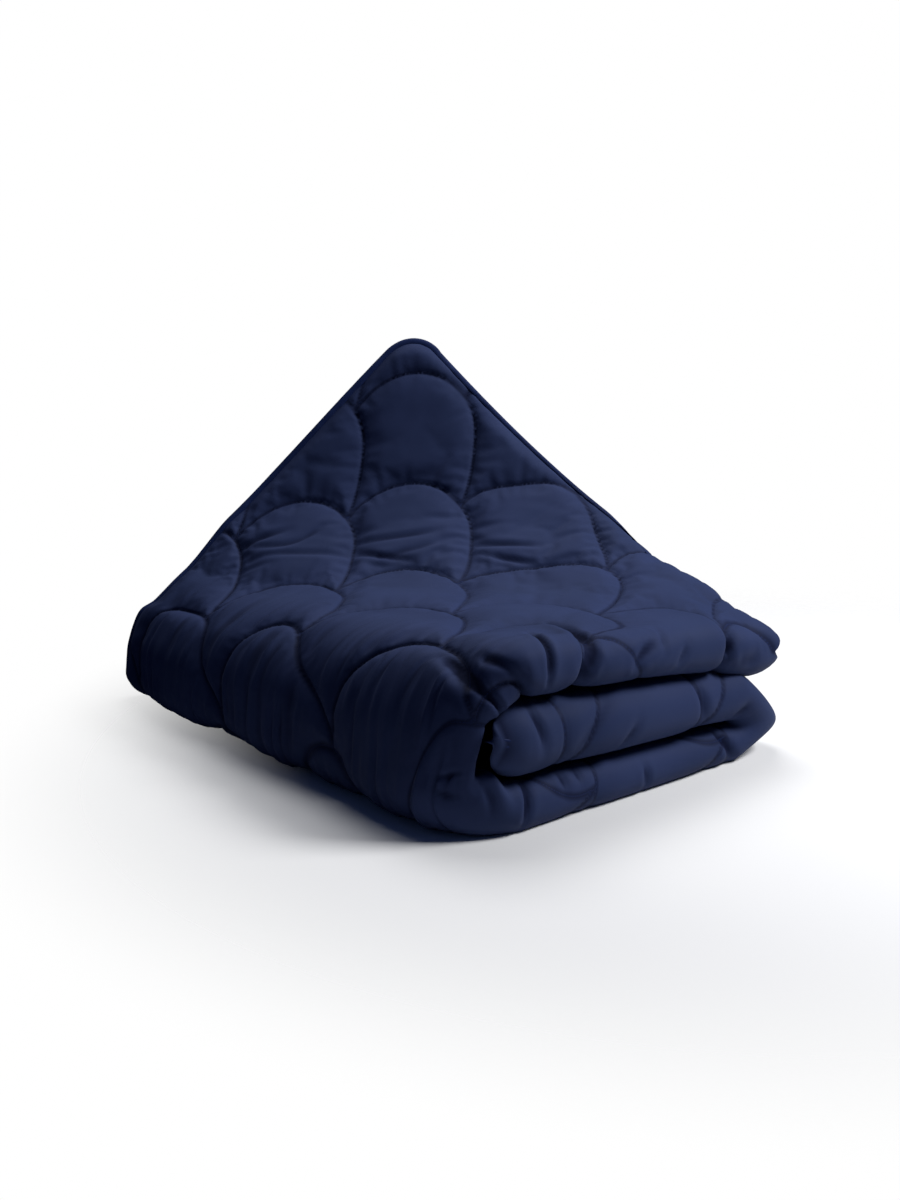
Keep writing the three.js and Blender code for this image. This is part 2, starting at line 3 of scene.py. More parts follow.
import bpy
import numpy as np
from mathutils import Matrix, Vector


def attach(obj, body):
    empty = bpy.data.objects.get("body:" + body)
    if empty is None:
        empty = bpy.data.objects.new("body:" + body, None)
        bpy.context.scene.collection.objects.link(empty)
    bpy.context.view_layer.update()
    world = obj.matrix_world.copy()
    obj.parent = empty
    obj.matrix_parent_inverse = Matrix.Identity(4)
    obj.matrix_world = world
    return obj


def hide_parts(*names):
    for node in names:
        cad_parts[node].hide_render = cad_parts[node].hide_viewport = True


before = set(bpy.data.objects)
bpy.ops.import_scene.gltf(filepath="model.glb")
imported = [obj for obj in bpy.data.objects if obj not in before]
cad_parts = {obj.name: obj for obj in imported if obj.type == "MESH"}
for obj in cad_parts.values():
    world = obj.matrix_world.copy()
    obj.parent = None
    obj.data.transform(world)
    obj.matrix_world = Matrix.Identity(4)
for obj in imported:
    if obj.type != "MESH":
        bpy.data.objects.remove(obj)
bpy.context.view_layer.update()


# Quilted body: two navy microfibre cloths with filling between them, sewn together along scallop
# lines. The flat sheet is folded in half, then in three, and the back corner of its upper ply is
# turned up. u runs along the folded strip from its top free end, v across it from the half fold.
PILE_WIDTH = 0.720
PILE_DEPTH = 1.000
BOTTOM_LAYER = 0.082
MIDDLE_LAYER = 0.118
TOP_LAYER = 0.086
MIDDLE_RUN = 0.532
PLY_CLEARANCE = 0.007
LAYER_GAP = 0.008
TOP_SETBACK = 0.006
TOP_SKEW = 0.020

# Free ends of the strip: the top layer's end, and the middle layer's, which is called the tongue
FREE_END_REACH = 0.042
LOOSE_RANGE = (0.25, 0.45)
TOP_LOOSE = 0.8
TOP_TUCK = 0.48
TOP_TURN = math.radians(60)
TOP_IN = 0.026
TOP_NOSE = 0.026
TOP_FAT = 0.040
TOP_FAT_RANGE = (0.04, 0.30)
TOP_DROOP = 0.020
TOP_DROOP_REACH = 0.17
TONGUE_TUCK = 0.19
TONGUE_TURN = math.radians(40)
TONGUE_IN = 0.010
TONGUE_NOSE = 0.056
TONGUE_BACK = 0.095
TONGUE_BACK_REACH = 0.28
TONGUE_BACK_FROM = (0.01, 0.13)
TONGUE_BACK_TO = (0.5, 0.9)

# Folds and corners of the pile, and the share of their height that the layers keep at its corners
NEAR_FOLD = 0.090
FOLD_SQUARE = 0.86
FOLD_ROUND = 1.0
RIGHT_PINCH = 0.55
RIGHT_SAG = 0.018
RIGHT_POINT = 0.012
FOLD_THIN = 0.55
FOLD_STARTS = (0.08, 0.60)
FOLD_ENDS = (0.62, 0.84)
FOLD_FILL = 0.030
FOLD_INSET = 0.012
NOOK_START, NOOK_MIDDLE, NOOK_END = 0.01, 0.05, 0.09
NOOK_HEIGHTS = (0.10, 0.21)
BACK_DRAW = 0.014
CORNER_PLAN = 0.12
CORNER_LIFT = 0.026
LEFT_FOOT = 0.042
FOOT_OUT = 0.018
BOTTOM_INSET = 0.010
FOOT_SPREAD = 0.030
SINK = 0.006
LOFT_FRONT, LOFT_LEFT, LOFT_RIGHT, LOFT_BACK = 1.05, 0.65, 0.78, 0.87
PILE_SHIFT = np.array([0.0, -0.01675, 0.0])

# Heights, radii and lengths that follow from these
BOTTOM_Z = BOTTOM_LAYER / 2
MIDDLE_Z = BOTTOM_LAYER + LAYER_GAP + MIDDLE_LAYER / 2
TOP_Z = BOTTOM_LAYER + MIDDLE_LAYER + 2 * LAYER_GAP + TOP_LAYER / 2
CREASE_Z = BOTTOM_LAYER + LAYER_GAP / 2
LEFT_RADIUS = (TOP_Z - BOTTOM_Z) / 2
RIGHT_RADIUS = (MIDDLE_Z - BOTTOM_Z) / 2
LEFT_X = LEFT_RADIUS + TOP_LAYER / 2 - PILE_WIDTH / 2
RIGHT_X = PILE_WIDTH / 2 - 2 * RIGHT_RADIUS + LAYER_GAP / 2
TOP_RUN = PILE_WIDTH / 2 - TOP_SETBACK - LEFT_X
LEFT_DROP = LEFT_RADIUS - LEFT_FOOT
LEFT_ARC = math.pi / 2 * (LEFT_RADIUS + LEFT_FOOT) + 2 * LEFT_DROP
BOTTOM_RUN = RIGHT_X - LEFT_X
RIGHT_ARC = math.pi * RIGHT_RADIUS
RIGHT_FOLD_START = TOP_RUN + LEFT_ARC + BOTTOM_RUN
RIGHT_FOLD_END = RIGHT_FOLD_START + RIGHT_ARC
LENGTH = RIGHT_FOLD_END + MIDDLE_RUN
HALF_FOLD = math.pi / 2 * TOP_LAYER / 4
HALF_WIDTH = PILE_DEPTH - TOP_LAYER / 2 + HALF_FOLD


def ease(value, low, high):
    """Smooth step from 0 at low to 1 at high: 3 t^2 - 2 t^3 of the clamped share t."""
    t = np.clip((value - low) / (high - low), 0, 1)
    return t * t * (3 - 2 * t)


def fold_share(u):
    """1 along the drop of the left fold, easing to 0 on the top run and at its foot."""
    run = (u - TOP_RUN) / LEFT_ARC
    return ease(run, *FOLD_STARTS) * (1 - ease(run, *FOLD_ENDS))


def strip_at(u, v):
    """Centre line of the folded strip and half the height of its two plies: a level top run, a round
    shoulder with a straight drop and a tighter foot, a level bottom run, a spiral about the right
    crease and a level middle run. The layer is drawn thin around the left fold, on its inner side. Both
    free ends are rounded over, with their edges tucked in. Near the half fold the top layer's end is
    fatter and droops, and away from it the tongue is drawn back."""
    in_left = u - TOP_RUN
    in_right = in_left - LEFT_ARC - BOTTOM_RUN
    in_middle = in_right - RIGHT_ARC
    upper = u < LENGTH / 2
    aside = np.abs(v)
    loose = np.where(upper, ease(aside, *LOOSE_RANGE), 0)
    tucked = np.where(upper, TOP_TUCK, TONGUE_TUCK)
    least = tucked + (TOP_LOOSE - tucked) * loose
    to_end = np.clip(np.minimum(u, LENGTH - u) / FREE_END_REACH, 0, 1)
    over = np.where(upper, TOP_TURN, TONGUE_TURN) * np.sign(v)
    over = over * (1 - loose) * (1 - ease(to_end, 0, 1))
    layer = TOP_LAYER + ease(in_left, 0, LEFT_ARC) * (BOTTOM_LAYER - TOP_LAYER)
    layer = layer + ease(in_right, 0, RIGHT_ARC) * (MIDDLE_LAYER - BOTTOM_LAYER)
    layer = layer + TOP_FAT * (1 - loose) * (1 - ease(u, *TOP_FAT_RANGE))
    full = layer / 2 * (least + (1 - least) * np.sqrt(to_end * (2 - to_end)))
    thin = FOLD_THIN * fold_share(u)
    half = full * (1 - thin)
    drop = np.pi / 2 * LEFT_RADIUS
    foot = drop + LEFT_DROP
    level = foot + np.pi / 2 * LEFT_FOOT
    a = np.clip(in_left / LEFT_RADIUS, 0, np.pi / 2)
    b = np.clip((in_left - foot) / LEFT_FOOT, 0, np.pi / 2)
    c = np.clip(in_right / RIGHT_RADIUS, 0, np.pi)
    radius = half + LAYER_GAP / 2
    where = [in_left < 0, in_left < drop, in_left < foot, in_left < level, in_right < 0, in_middle < 0]
    flat = np.zeros_like(u)
    x = np.select(where, [
        LEFT_X - in_left,
        LEFT_X - LEFT_RADIUS * np.sin(a),
        LEFT_X - LEFT_RADIUS + flat,
        LEFT_X - LEFT_DROP - LEFT_FOOT * np.cos(b),
        LEFT_X - LEFT_DROP + in_left - level,
        RIGHT_X + radius * np.sin(c),
    ], RIGHT_X - in_middle)
    x = x + np.where(upper, -TOP_IN, TONGUE_IN) * (1 - loose) * (1 - to_end) ** 2
    back = ease(aside, *TONGUE_BACK_FROM) * (1 - ease(aside, *TONGUE_BACK_TO))
    x = x + TONGUE_BACK * back * ease(u, LENGTH - TONGUE_BACK_REACH, LENGTH)
    z = np.select(where, [
        TOP_Z + flat,
        BOTTOM_Z + LEFT_RADIUS * (1 + np.cos(a)),
        BOTTOM_Z + LEFT_RADIUS - (in_left - drop),
        BOTTOM_Z + LEFT_FOOT * (1 - np.sin(b)),
        BOTTOM_Z + flat,
        CREASE_Z - radius * np.cos(c),
    ], MIDDLE_Z)
    z = z - TOP_DROOP * (1 - loose) * (1 - ease(u, 0, TOP_DROOP_REACH))
    side_x = np.select(
        where, [np.sin(over), -np.sin(a), flat - 1, -np.cos(b), flat, np.sin(c)], -np.sin(over))
    side_z = np.select(
        where, [np.cos(over), np.cos(a), flat, -np.sin(b), flat - 1, -np.cos(c)], np.cos(over))
    shift = full * thin / 2
    return x + side_x * shift, z + side_z * shift, side_x, side_z, half, full


# Turned-up corner: the cloth's slope at each distance from the corner, along a hinge across it
LIFT_TURN = math.radians(44.5)
LIFT_LEAN = 0.065
LIFT_CURL = 0.16
LIFT_FOLD_MARGIN = 0.150
LIFT_FADE = 0.8
LIFT_FADE_RANGE = (0.46, 0.68)
LIFT_STEPS = 360
LIFT_FROM_TIP = np.array([0.0, 0.15, 0.28, 0.40, 0.52, 0.64, 0.76, 0.90])
LIFT_DEGREES = np.array([68.0, 68.0, 60.0, 40.0, 26.0, 0.0, 6.0, 0.0])
lift_run = np.linspace(LIFT_FROM_TIP[-1], 0, LIFT_STEPS + 1)
lift_step = LIFT_FROM_TIP[-1] / LIFT_STEPS
lift_slope = np.radians(np.interp(lift_run[:-1] - lift_step / 2, LIFT_FROM_TIP, LIFT_DEGREES))
lift_rise = np.concatenate([[0], np.cumsum(lift_step * np.sin(lift_slope))])
lift_drawn = np.concatenate([[0], np.cumsum(lift_step * (1 - np.cos(lift_slope)))])


def from_corner(u, v):
    """Distance from the turned-up corner across its hinge, on a slightly curled line."""
    w = HALF_WIDTH - v
    return math.cos(LIFT_TURN) * u + math.sin(LIFT_TURN) * w + LIFT_CURL * (u * u - w * w)


def folded(u, v, off):
    """Place of the sheet's point (u, v) at the height off above its middle: the hairpin of the half
    fold is carried along the strip, with a blunt nose at both free ends, its heights are scaled by a
    loft blended between the four corners of the pile, and the corner is turned up by the summed slopes
    of the table. Then the right fold is pressed to a wedge, the nook inside the left fold fills up, and
    the front corner of the pile is rounded in plan and a little raised."""
    x, z, side_x, side_z, half, _ = strip_at(u, v)
    turn = np.clip(v / HALF_FOLD, -1, 1) * np.pi / 2
    flat_run = np.maximum(np.abs(v) - HALF_FOLD, 0)
    cos, sin = np.cos(turn), np.abs(np.sin(turn))
    low_fold = ease(u, TOP_RUN, TOP_RUN + LEFT_ARC / 3) * (1 - ease(u, RIGHT_FOLD_START, RIGHT_FOLD_END))
    square = FOLD_SQUARE + (FOLD_ROUND - FOLD_SQUARE) * low_fold * (v > 0)
    y = half - PILE_DEPTH / 2 - half / 2 * cos ** square
    y = y + BOTTOM_INSET * low_fold + FOLD_INSET * fold_share(u)
    y = y + flat_run * (PILE_DEPTH - half) / (PILE_DEPTH - TOP_LAYER / 2)
    reach = half / 2 * np.sign(v) * sin ** square
    x = x + side_x * reach
    x = x - TONGUE_NOSE * cos * ease(u, LENGTH - FREE_END_REACH, LENGTH)
    x = x + TOP_NOSE * cos * (1 - ease(u, 0, FREE_END_REACH))
    across = np.clip(x / PILE_WIDTH + 0.5, 0, 1)
    along = np.clip(y / PILE_DEPTH + 0.5, 0, 1)
    near = LOFT_FRONT + (LOFT_LEFT - LOFT_FRONT) * along
    far = LOFT_RIGHT + (LOFT_BACK - LOFT_RIGHT) * along
    loft = near + (far - near) * across
    height = (z + side_z * reach) * loft - SINK
    low = np.clip(1 - height / TOP_Z, 0, 1)
    askew = np.clip(1 - u / TOP_RUN, 0, 1)
    x = x - FOOT_SPREAD * ((1 - along) * (1 - across) * low) ** 2 - TOP_SKEW * (1 - along) * askew
    x = x - FOOT_OUT * ((1 - across) * low) ** 2
    out, up = cos ** (2 - square), np.sign(v) * sin ** (2 - square)
    size = np.hypot(out, up)
    swell = off * up / size
    swell_x, swell_y, swell_z = side_x * swell, -off * out / size, side_z * swell * loft

    hinge_x, hinge_y = math.cos(LIFT_TURN), math.sin(LIFT_TURN)
    tip = from_corner(u, v)
    around = np.clip((u - TOP_RUN) / LEFT_RADIUS, 0, np.pi)
    share = ease(v, 0, LIFT_FOLD_MARGIN) * np.cos(around / 2) ** 2
    share = share * (1 - LIFT_FADE * ease(u, *LIFT_FADE_RANGE))
    slope = np.radians(np.interp(tip, LIFT_FROM_TIP, LIFT_DEGREES, right=0)) * share
    rise = np.interp(LIFT_FROM_TIP[-1] - tip, LIFT_FROM_TIP[-1] - lift_run, lift_rise) * share
    drawn = np.interp(LIFT_FROM_TIP[-1] - tip, LIFT_FROM_TIP[-1] - lift_run, lift_drawn) * share
    lean = LIFT_LEAN * rise
    x = x + swell_x * np.cos(slope) - hinge_x * (np.sin(slope) * swell_z + drawn) + hinge_y * lean
    y = y + swell_y * np.cos(slope) - hinge_y * (np.sin(slope) * swell_z + drawn) - hinge_x * lean
    height = height + swell_z * np.cos(slope) + rise

    wedge = np.clip((x - RIGHT_X) / (PILE_WIDTH / 2 - RIGHT_X), 0, 1) * (u > TOP_RUN + LEFT_ARC)
    crease = CREASE_Z * loft - SINK
    height = crease + (height - crease) * (1 - RIGHT_PINCH * wedge) - RIGHT_SAG * wedge * wedge
    inside = x + PILE_WIDTH / 2
    nook = ease(inside, NOOK_START, NOOK_MIDDLE) * (1 - ease(inside, NOOK_MIDDLE, NOOK_END))
    nook = nook * (u < RIGHT_FOLD_START) * ease(height, 0, BOTTOM_LAYER)
    height = height + FOLD_FILL * nook * (1 - ease(height, *NOOK_HEIGHTS))
    x = x + RIGHT_POINT * wedge * wedge
    a = np.clip((CORNER_PLAN - PILE_WIDTH / 2 - x) / CORNER_PLAN, 0, 1.1)
    x = x + BACK_DRAW * a * ease(y, PILE_DEPTH / 4, PILE_DEPTH / 2)
    b = np.clip((CORNER_PLAN - PILE_DEPTH / 2 - y) / CORNER_PLAN, 0, 1.1)
    height = height + CORNER_LIFT * a * b * np.clip(1 - height / TOP_Z, 0, 1)
    x = x + CORNER_PLAN * a * (1 - np.sqrt(1 - b * b / 2))
    y = y + CORNER_PLAN * b * (1 - np.sqrt(1 - a * a / 2))
    return np.stack([x, y, height], -1) + PILE_SHIFT


# Scallop stitching: a square lattice of overlapping circles, turned to point at the corner
SCALLOP_PITCH = 0.218
SCALLOP_RADIUS = 0.6 * SCALLOP_PITCH
SCALLOP_TURN = math.radians(47.4)
SCALLOP_FROM_TIP = 0.085
THROAT_DRIFT = 0.045
THROAT_STARTS, THROAT_ENDS, THROAT_ACROSS = (0.56, 0.64), (0.70, 0.82), (0.03, 0.17)
FOOT_DRIFT = 0.080
FOOT_STARTS, FOOT_ENDS, FOOT_ACROSS = (0.72, 0.92), (1.00, 1.35), (0.04, 0.16)
# Each drift of the stitched lines: its place on the sheet, how far the lines move there, and its reach
SEAM_DRIFTS = [
    ((0.06, 0.60), (-0.020, 0.025), 0.09),
    ((0.20, 0.42), (-0.010, 0.040), 0.11),
    ((0.12, 0.25), (0.045, 0.050), 0.14),
    ((0.25, 0.03), (0.020, 0.070), 0.11),
    ((0.42, 0.17), (0.060, -0.050), 0.10),
    ((0.48, 0.01), (-0.028, -0.010), 0.06),
    ((0.65, 0.93), (0.025, -0.025), 0.08),
    ((0.64, 0.60), (0.022, -0.018), 0.09),
    ((0.70, 0.48), (-0.030, -0.040), 0.10),
    ((0.73, 0.72), (-0.020, -0.025), 0.09)]


def scallop_line(arc_steps=26, side_steps=12):
    """One stitched line about its scallop's centre: a circle over the top from the left valley,
    then an ellipse down the right side to the next row's valley."""
    valley = math.sqrt(SCALLOP_RADIUS ** 2 - (SCALLOP_PITCH / 2) ** 2)
    side_end = math.acos(SCALLOP_PITCH / 2 / SCALLOP_RADIUS)
    top = math.atan2(valley, -SCALLOP_PITCH / 2) * (1 - np.arange(arc_steps) / arc_steps)
    side = side_end * np.arange(side_steps + 1) / side_steps
    drop = (SCALLOP_PITCH - valley) / math.sin(side_end)
    across = np.concatenate([np.cos(top), np.cos(side)]) * SCALLOP_RADIUS
    away = np.concatenate([-SCALLOP_RADIUS * np.sin(top), drop * np.sin(side)])
    return np.stack([across, away], -1)


def pattern_at(u, v):
    """The sheet's point in the lattice: across the rows, and away from the corner. Beside the front end
    of the large fold the lines are drawn up a little, where the cloth is gathered into the fold. Low on
    that fold they are drawn down to the floor, and where the cloth is pulled askew they drift by a bell
    about each place of the table."""
    gathered = ease(u, *THROAT_STARTS) * (1 - ease(u, *THROAT_ENDS)) * (1 - ease(np.abs(v), *THROAT_ACROSS))
    drawn = ease(u, *FOOT_STARTS) * (1 - ease(u, *FOOT_ENDS)) * ease(v, *FOOT_ACROSS)
    drift_u, drift_v = THROAT_DRIFT * gathered - FOOT_DRIFT * drawn, 0
    for (at_u, at_v), (move_u, move_v), reach in SEAM_DRIFTS:
        bell = np.exp(-((u - at_u) ** 2 + (v - at_v) ** 2) / reach ** 2)
        drift_u, drift_v = drift_u + move_u * bell, drift_v + move_v * bell
    u = u + drift_u
    w = HALF_WIDTH - v - drift_v
    cos, sin = math.cos(SCALLOP_TURN), math.sin(SCALLOP_TURN)
    return w * cos - u * sin, u * cos + w * sin - SCALLOP_FROM_TIP - SCALLOP_RADIUS


def seam_at(u, v):
    """Nearest point on the stitched lines: its distance, the way to it in u and v, how far along its
    line it lies, and the number of its scallop. Each stretch of the nine nearest lines is tried."""
    across, away = pattern_at(u, v)
    column, row = np.round(across / SCALLOP_PITCH), np.round(away / SCALLOP_PITCH)
    line = scallop_line()
    runs = np.concatenate([[0], np.cumsum(np.hypot(*np.diff(line, axis=0).T))])
    best = np.full(u.shape, 1.0)
    way_a, way_b, run, number = (np.zeros(u.shape) for _ in range(4))
    for i in (-1, 0, 1):
        for j in (-1, 0, 1):
            a = across - (column + i) * SCALLOP_PITCH
            b = away - (row + j) * SCALLOP_PITCH
            for start, end, begun in zip(line[:-1], line[1:], runs):
                step = end - start
                size = step @ step
                share = np.clip(((a - start[0]) * step[0] + (b - start[1]) * step[1]) / size, 0, 1)
                to_a, to_b = start[0] + share * step[0] - a, start[1] + share * step[1] - b
                far = to_a * to_a + to_b * to_b
                near = far < best
                best = np.where(near, far, best)
                way_a, way_b = np.where(near, to_a, way_a), np.where(near, to_b, way_b)
                run = np.where(near, begun + share * math.sqrt(size), run)
                number = np.where(near, (column + i) * 7 + (row + j) * 13, number)
    cos, sin = math.cos(SCALLOP_TURN), math.sin(SCALLOP_TURN)
    return np.sqrt(best), -way_a * sin + way_b * cos, -way_a * cos - way_b * sin, run, number


# Sewn edge of the sheet, with round corners
CORNER_RADIUS = 0.065
EDGE_HALF = 0.004


def edge_distance(u, v):
    """Distance on the flat sheet to its sewn edge, which is a rectangle with round corners."""
    past_u = np.maximum(CORNER_RADIUS - u, u - LENGTH + CORNER_RADIUS)
    past_v = np.abs(v) - HALF_WIDTH + CORNER_RADIUS
    corner = np.hypot(np.maximum(past_u, 0), np.maximum(past_v, 0))
    return CORNER_RADIUS - corner - np.minimum(np.maximum(past_u, past_v), 0)


def round_corner(u, v):
    """Draws the square corners of the grid onto round ones: each square ring about the corner's
    core becomes a quarter circle of the same reach."""
    core_u = np.clip(u, CORNER_RADIUS, LENGTH - CORNER_RADIUS)
    core_v = np.clip(v, CORNER_RADIUS - HALF_WIDTH, HALF_WIDTH - CORNER_RADIUS)
    past_u, past_v = u - core_u, v - core_v
    square = np.maximum(np.abs(past_u), np.abs(past_v))
    scale = np.where((past_u != 0) & (past_v != 0), square / np.maximum(np.hypot(past_u, past_v), 1e-9), 1)
    return core_u + past_u * scale, core_v + past_v * scale


def noise(a, b, seed):
    """Smooth noise from -1 to 1: seeded values on a lattice of unit cells, blended by an eased share."""
    cells = 64
    table = np.random.default_rng(seed).uniform(-1, 1, (cells, cells))
    i, j = np.floor(a).astype(int), np.floor(b).astype(int)
    s, t = a - i, b - j
    s, t = s * s * (3 - 2 * s), t * t * (3 - 2 * t)
    i, j, next_i, next_j = i % cells, j % cells, (i + 1) % cells, (j + 1) % cells
    low = table[i, j] * (1 - s) + table[next_i, j] * s
    high = table[i, next_j] * (1 - s) + table[next_i, next_j] * s
    return low * (1 - t) + high * t


# Filling of the two plies, and how it swells between the stitched lines
SEAM_HALF = 0.0045
PILLOW_REACH = 0.046
PILLOW_POWER = 0.58
EDGE_REACH = 0.028
EDGE_REACH_FREE = 0.012
EDGE_REACH_NOSE = 0.008
FREE_END_RANGE = (0.08, 0.12)
FLOOR_PRESS = 0.005
TOP_CROWN = 0.92
WRAP_CROWN = 1.15
WRAP_RANGE = (TOP_RUN - 0.05, TOP_RUN + 0.10)
FRONT_CROWN = 0.002
FRONT_RANGE = (HALF_FOLD, HALF_FOLD + 0.06)
FOOT_CORNER, FOOT_CORNER_REACH = (0.80, 0.03), 0.07
LOWER_SHALLOW = 0.75
FRONT_SHALLOW = 0.8
FRONT_STARTS, FRONT_ENDS = (0.10, 0.18), (0.38, 0.46)
FRONT_ACROSS = (HALF_FOLD, HALF_FOLD + 0.14)
END_SHALLOW = 0.45
END_ALONG, END_ACROSS = (0.08, 0.20), (0.25, 0.40)


def arc_range(start, end):
    """Places along the strip at two shares of the left fold's arc."""
    return TOP_RUN + start * LEFT_ARC, TOP_RUN + end * LEFT_ARC


def ply_half(u, v, seam, outside):
    """Half the thickness of one ply: least on a stitched line and at the edge, swelling between them
    on a curve that is steep at the seam and level at the crown. The seams are stretched shallow at the
    foot of the front corner, on the front of the layers and at the end of the top one, and the edge is
    blunt at the free ends. outside is 1 on the outer face."""
    half, plump = strip_at(u, v)[4:]
    aside = np.abs(v)
    foot = np.exp(-((u - FOOT_CORNER[0]) ** 2 + (v - FOOT_CORNER[1]) ** 2) / FOOT_CORNER_REACH ** 2)
    share = np.clip((seam + PILLOW_REACH * foot) / PILLOW_REACH, 0, 1)
    full = (half + (plump - half) * outside * (v > 0)) / 2 - PLY_CLEARANCE / 2
    shown = ease(v, -HALF_FOLD, 0) * (1 - ease(u, *arc_range(0.6, 0.8)))
    crown = TOP_CROWN + (WRAP_CROWN - TOP_CROWN) * ease(u, *WRAP_RANGE)
    full = full * (1 + (crown - 1) * shown * outside)
    front = 1 - ease(aside, *FRONT_RANGE)
    full = full + (half / 2 + FRONT_CROWN - full) * front
    swell = (share * (2 - share)) ** PILLOW_POWER
    lower = ease(u, *arc_range(0.6, 0.9))
    stretched = (1 - ease(aside, *FRONT_ACROSS)) * ease(u, *FRONT_STARTS) * (1 - ease(u, *FRONT_ENDS))
    ending = (1 - ease(u, *END_ALONG)) * (1 - ease(aside, *END_ACROSS))
    shallow = np.maximum(LOWER_SHALLOW * front * lower, FRONT_SHALLOW * stretched)
    shallow = np.maximum(shallow, END_SHALLOW * ending)
    swell = SEAM_HALF + (full - SEAM_HALF) * (swell + (1 - swell) * shallow)
    tongue = u > LENGTH / 2
    free = np.maximum(tongue, 1 - ease(aside, *LOOSE_RANGE))
    free = free * (1 - ease(np.minimum(u, LENGTH - u), *FREE_END_RANGE))
    reach = EDGE_REACH + (EDGE_REACH_FREE - EDGE_REACH) * free
    reach = reach - EDGE_REACH_NOSE * np.exp(-(v / HALF_FOLD) ** 2) * tongue
    edge = np.clip(edge_distance(u, v) / reach, 0, 1)
    return EDGE_HALF + (swell - EDGE_HALF) * edge * (2 - edge)


# Main creases, each a soft trough, or a ridge where its depth is negative, along a bent line: its start,
# middle and end on the sheet, its depth and its half width
THROAT_FOLDS = [
    ((0.625, 0.140), (0.647, 0.062), (0.667, 0.012), 0.012, 0.008),
    ((0.660, 0.030), (0.669, 0.002), (0.680, -0.016), 0.008, 0.005),
    ((0.396, 0.160), (0.428, 0.064), (0.484, -0.010), 0.014, 0.007),
    ((0.390, 0.140), (0.419, 0.060), (0.473, -0.012), 0.008, 0.006),
    ((0.412, 0.166), (0.447, 0.076), (0.504, 0.000), -0.007, 0.013),
    ((0.647, 0.138), (0.671, 0.066), (0.692, 0.016), -0.003, 0.016),
    ((0.500, 0.098), (0.545, 0.034), (0.562, -0.006), 0.011, 0.006),
    ((0.626, 0.006), (0.612, -0.010), (0.596, -0.028), 0.006, 0.005),
    ((0.620, 0.057), (0.624, 0.024), (0.614, 0.004), 0.004, 0.006)]
FRONT_FOLDS = [
    ((0.306, 0.016), (0.346, 0.007), (0.370, -0.005), 0.006, 0.006),
    ((0.288, 0.024), (0.294, 0.016), (0.302, 0.008), 0.004, 0.005),
    ((0.238, 0.009), (0.254, 0.000), (0.271, -0.009), 0.004, 0.006),
    ((0.100, 0.032), (0.124, 0.008), (0.138, -0.006), 0.005, 0.006),
    ((0.108, 0.009), (0.126, 0.003), (0.142, -0.003), 0.005, 0.005),
    ((0.045, -0.003), (0.080, -0.006), (0.112, -0.008), 0.004, 0.006),
    ((2.088, 0.050), (2.080, 0.010), (2.082, -0.030), 0.006, 0.006),
    ((2.049, 0.022), (2.043, 0.011), (2.029, -0.003), 0.007, 0.006),
    ((1.866, 0.025), (1.920, 0.003), (1.975, -0.012), 0.004, 0.007),
    ((1.828, -0.001), (1.844, -0.008), (1.860, -0.016), 0.005, 0.006),
    ((1.686, 0.024), (1.678, 0.006), (1.652, -0.016), 0.004, 0.007),
    ((1.550, -0.006), (1.570, -0.010), (1.590, -0.015), 0.005, 0.006)]
FOOT_FOLDS = [
    ((0.786, 0.050), (0.789, 0.034), (0.786, 0.017), 0.005, 0.005),
    ((0.803, 0.049), (0.812, 0.032), (0.816, 0.014), 0.005, 0.005),
    ((0.789, 0.034), (0.797, 0.030), (0.806, 0.026), 0.004, 0.005),
    ((0.824, -0.016), (0.849, -0.003), (0.863, 0.006), 0.005, 0.006),
    ((0.936, -0.030), (0.924, -0.010), (0.920, 0.010), 0.009, 0.007),
    ((1.000, -0.027), (1.000, -0.018), (1.000, -0.009), 0.006, 0.006),
    ((1.031, -0.026), (1.031, -0.018), (1.031, -0.011), 0.005, 0.006),
    ((1.165, -0.011), (1.170, 0.000), (1.175, 0.012), 0.005, 0.006),
    ((1.350, -0.027), (1.361, -0.010), (1.383, 0.010), 0.008, 0.007)]
BEND_FOLDS = [
    ((0.498, 0.920), (0.453, 0.891), (0.412, 0.860), 0.005, 0.007),
    ((0.484, 0.905), (0.436, 0.834), (0.372, 0.818), 0.005, 0.007),
    ((0.486, 0.860), (0.440, 0.795), (0.386, 0.719), 0.004, 0.007),
    ((0.354, 0.729), (0.297, 0.671), (0.238, 0.621), 0.005, 0.007),
    ((0.369, 0.701), (0.348, 0.656), (0.326, 0.613), 0.005, 0.007),
    ((0.350, 0.660), (0.300, 0.622), (0.255, 0.600), 0.004, 0.008),
    ((0.217, 0.538), (0.181, 0.490), (0.146, 0.443), 0.005, 0.007),
    ((0.224, 0.499), (0.206, 0.460), (0.187, 0.421), 0.005, 0.007)]
CREASE_POINTS = 61
CREASE_REACH = 5
CREASE_LIP = 0.15
CREASE_TAPER = 0.6


def creases(u, v):
    """Depth of the listed creases: each is a bell across its distance to a curve through three
    points, with a low lip at both sides, and dies away at both ends."""
    depth = np.zeros_like(u)
    share = np.linspace(0, 1, CREASE_POINTS)
    for start, middle, end, deep, half_width in THROAT_FOLDS + FRONT_FOLDS + FOOT_FOLDS + BEND_FOLDS:
        start, middle, end = (np.array(point) for point in (start, middle, end))
        bow = 2 * middle - (start + end) / 2
        line = start + np.outer(2 * share * (1 - share), bow - start) + np.outer(share ** 2, end - start)
        reach = CREASE_REACH * half_width
        low, high = line.min(0) - reach, line.max(0) + reach
        near = (u > low[0]) & (u < high[0]) & (v > low[1]) & (v < high[1])
        way = np.hypot(u[near][:, None] - line[:, 0], v[near][:, None] - line[:, 1])
        along = share[way.argmin(1)]
        far = way.min(1) / half_width
        bell = np.exp(-far ** 2) - CREASE_LIP * np.exp(-(far - 2) ** 2)
        depth[near] += deep * bell * np.sin(np.pi * np.clip(along, 0.04, 0.96)) ** CREASE_TAPER
    return depth


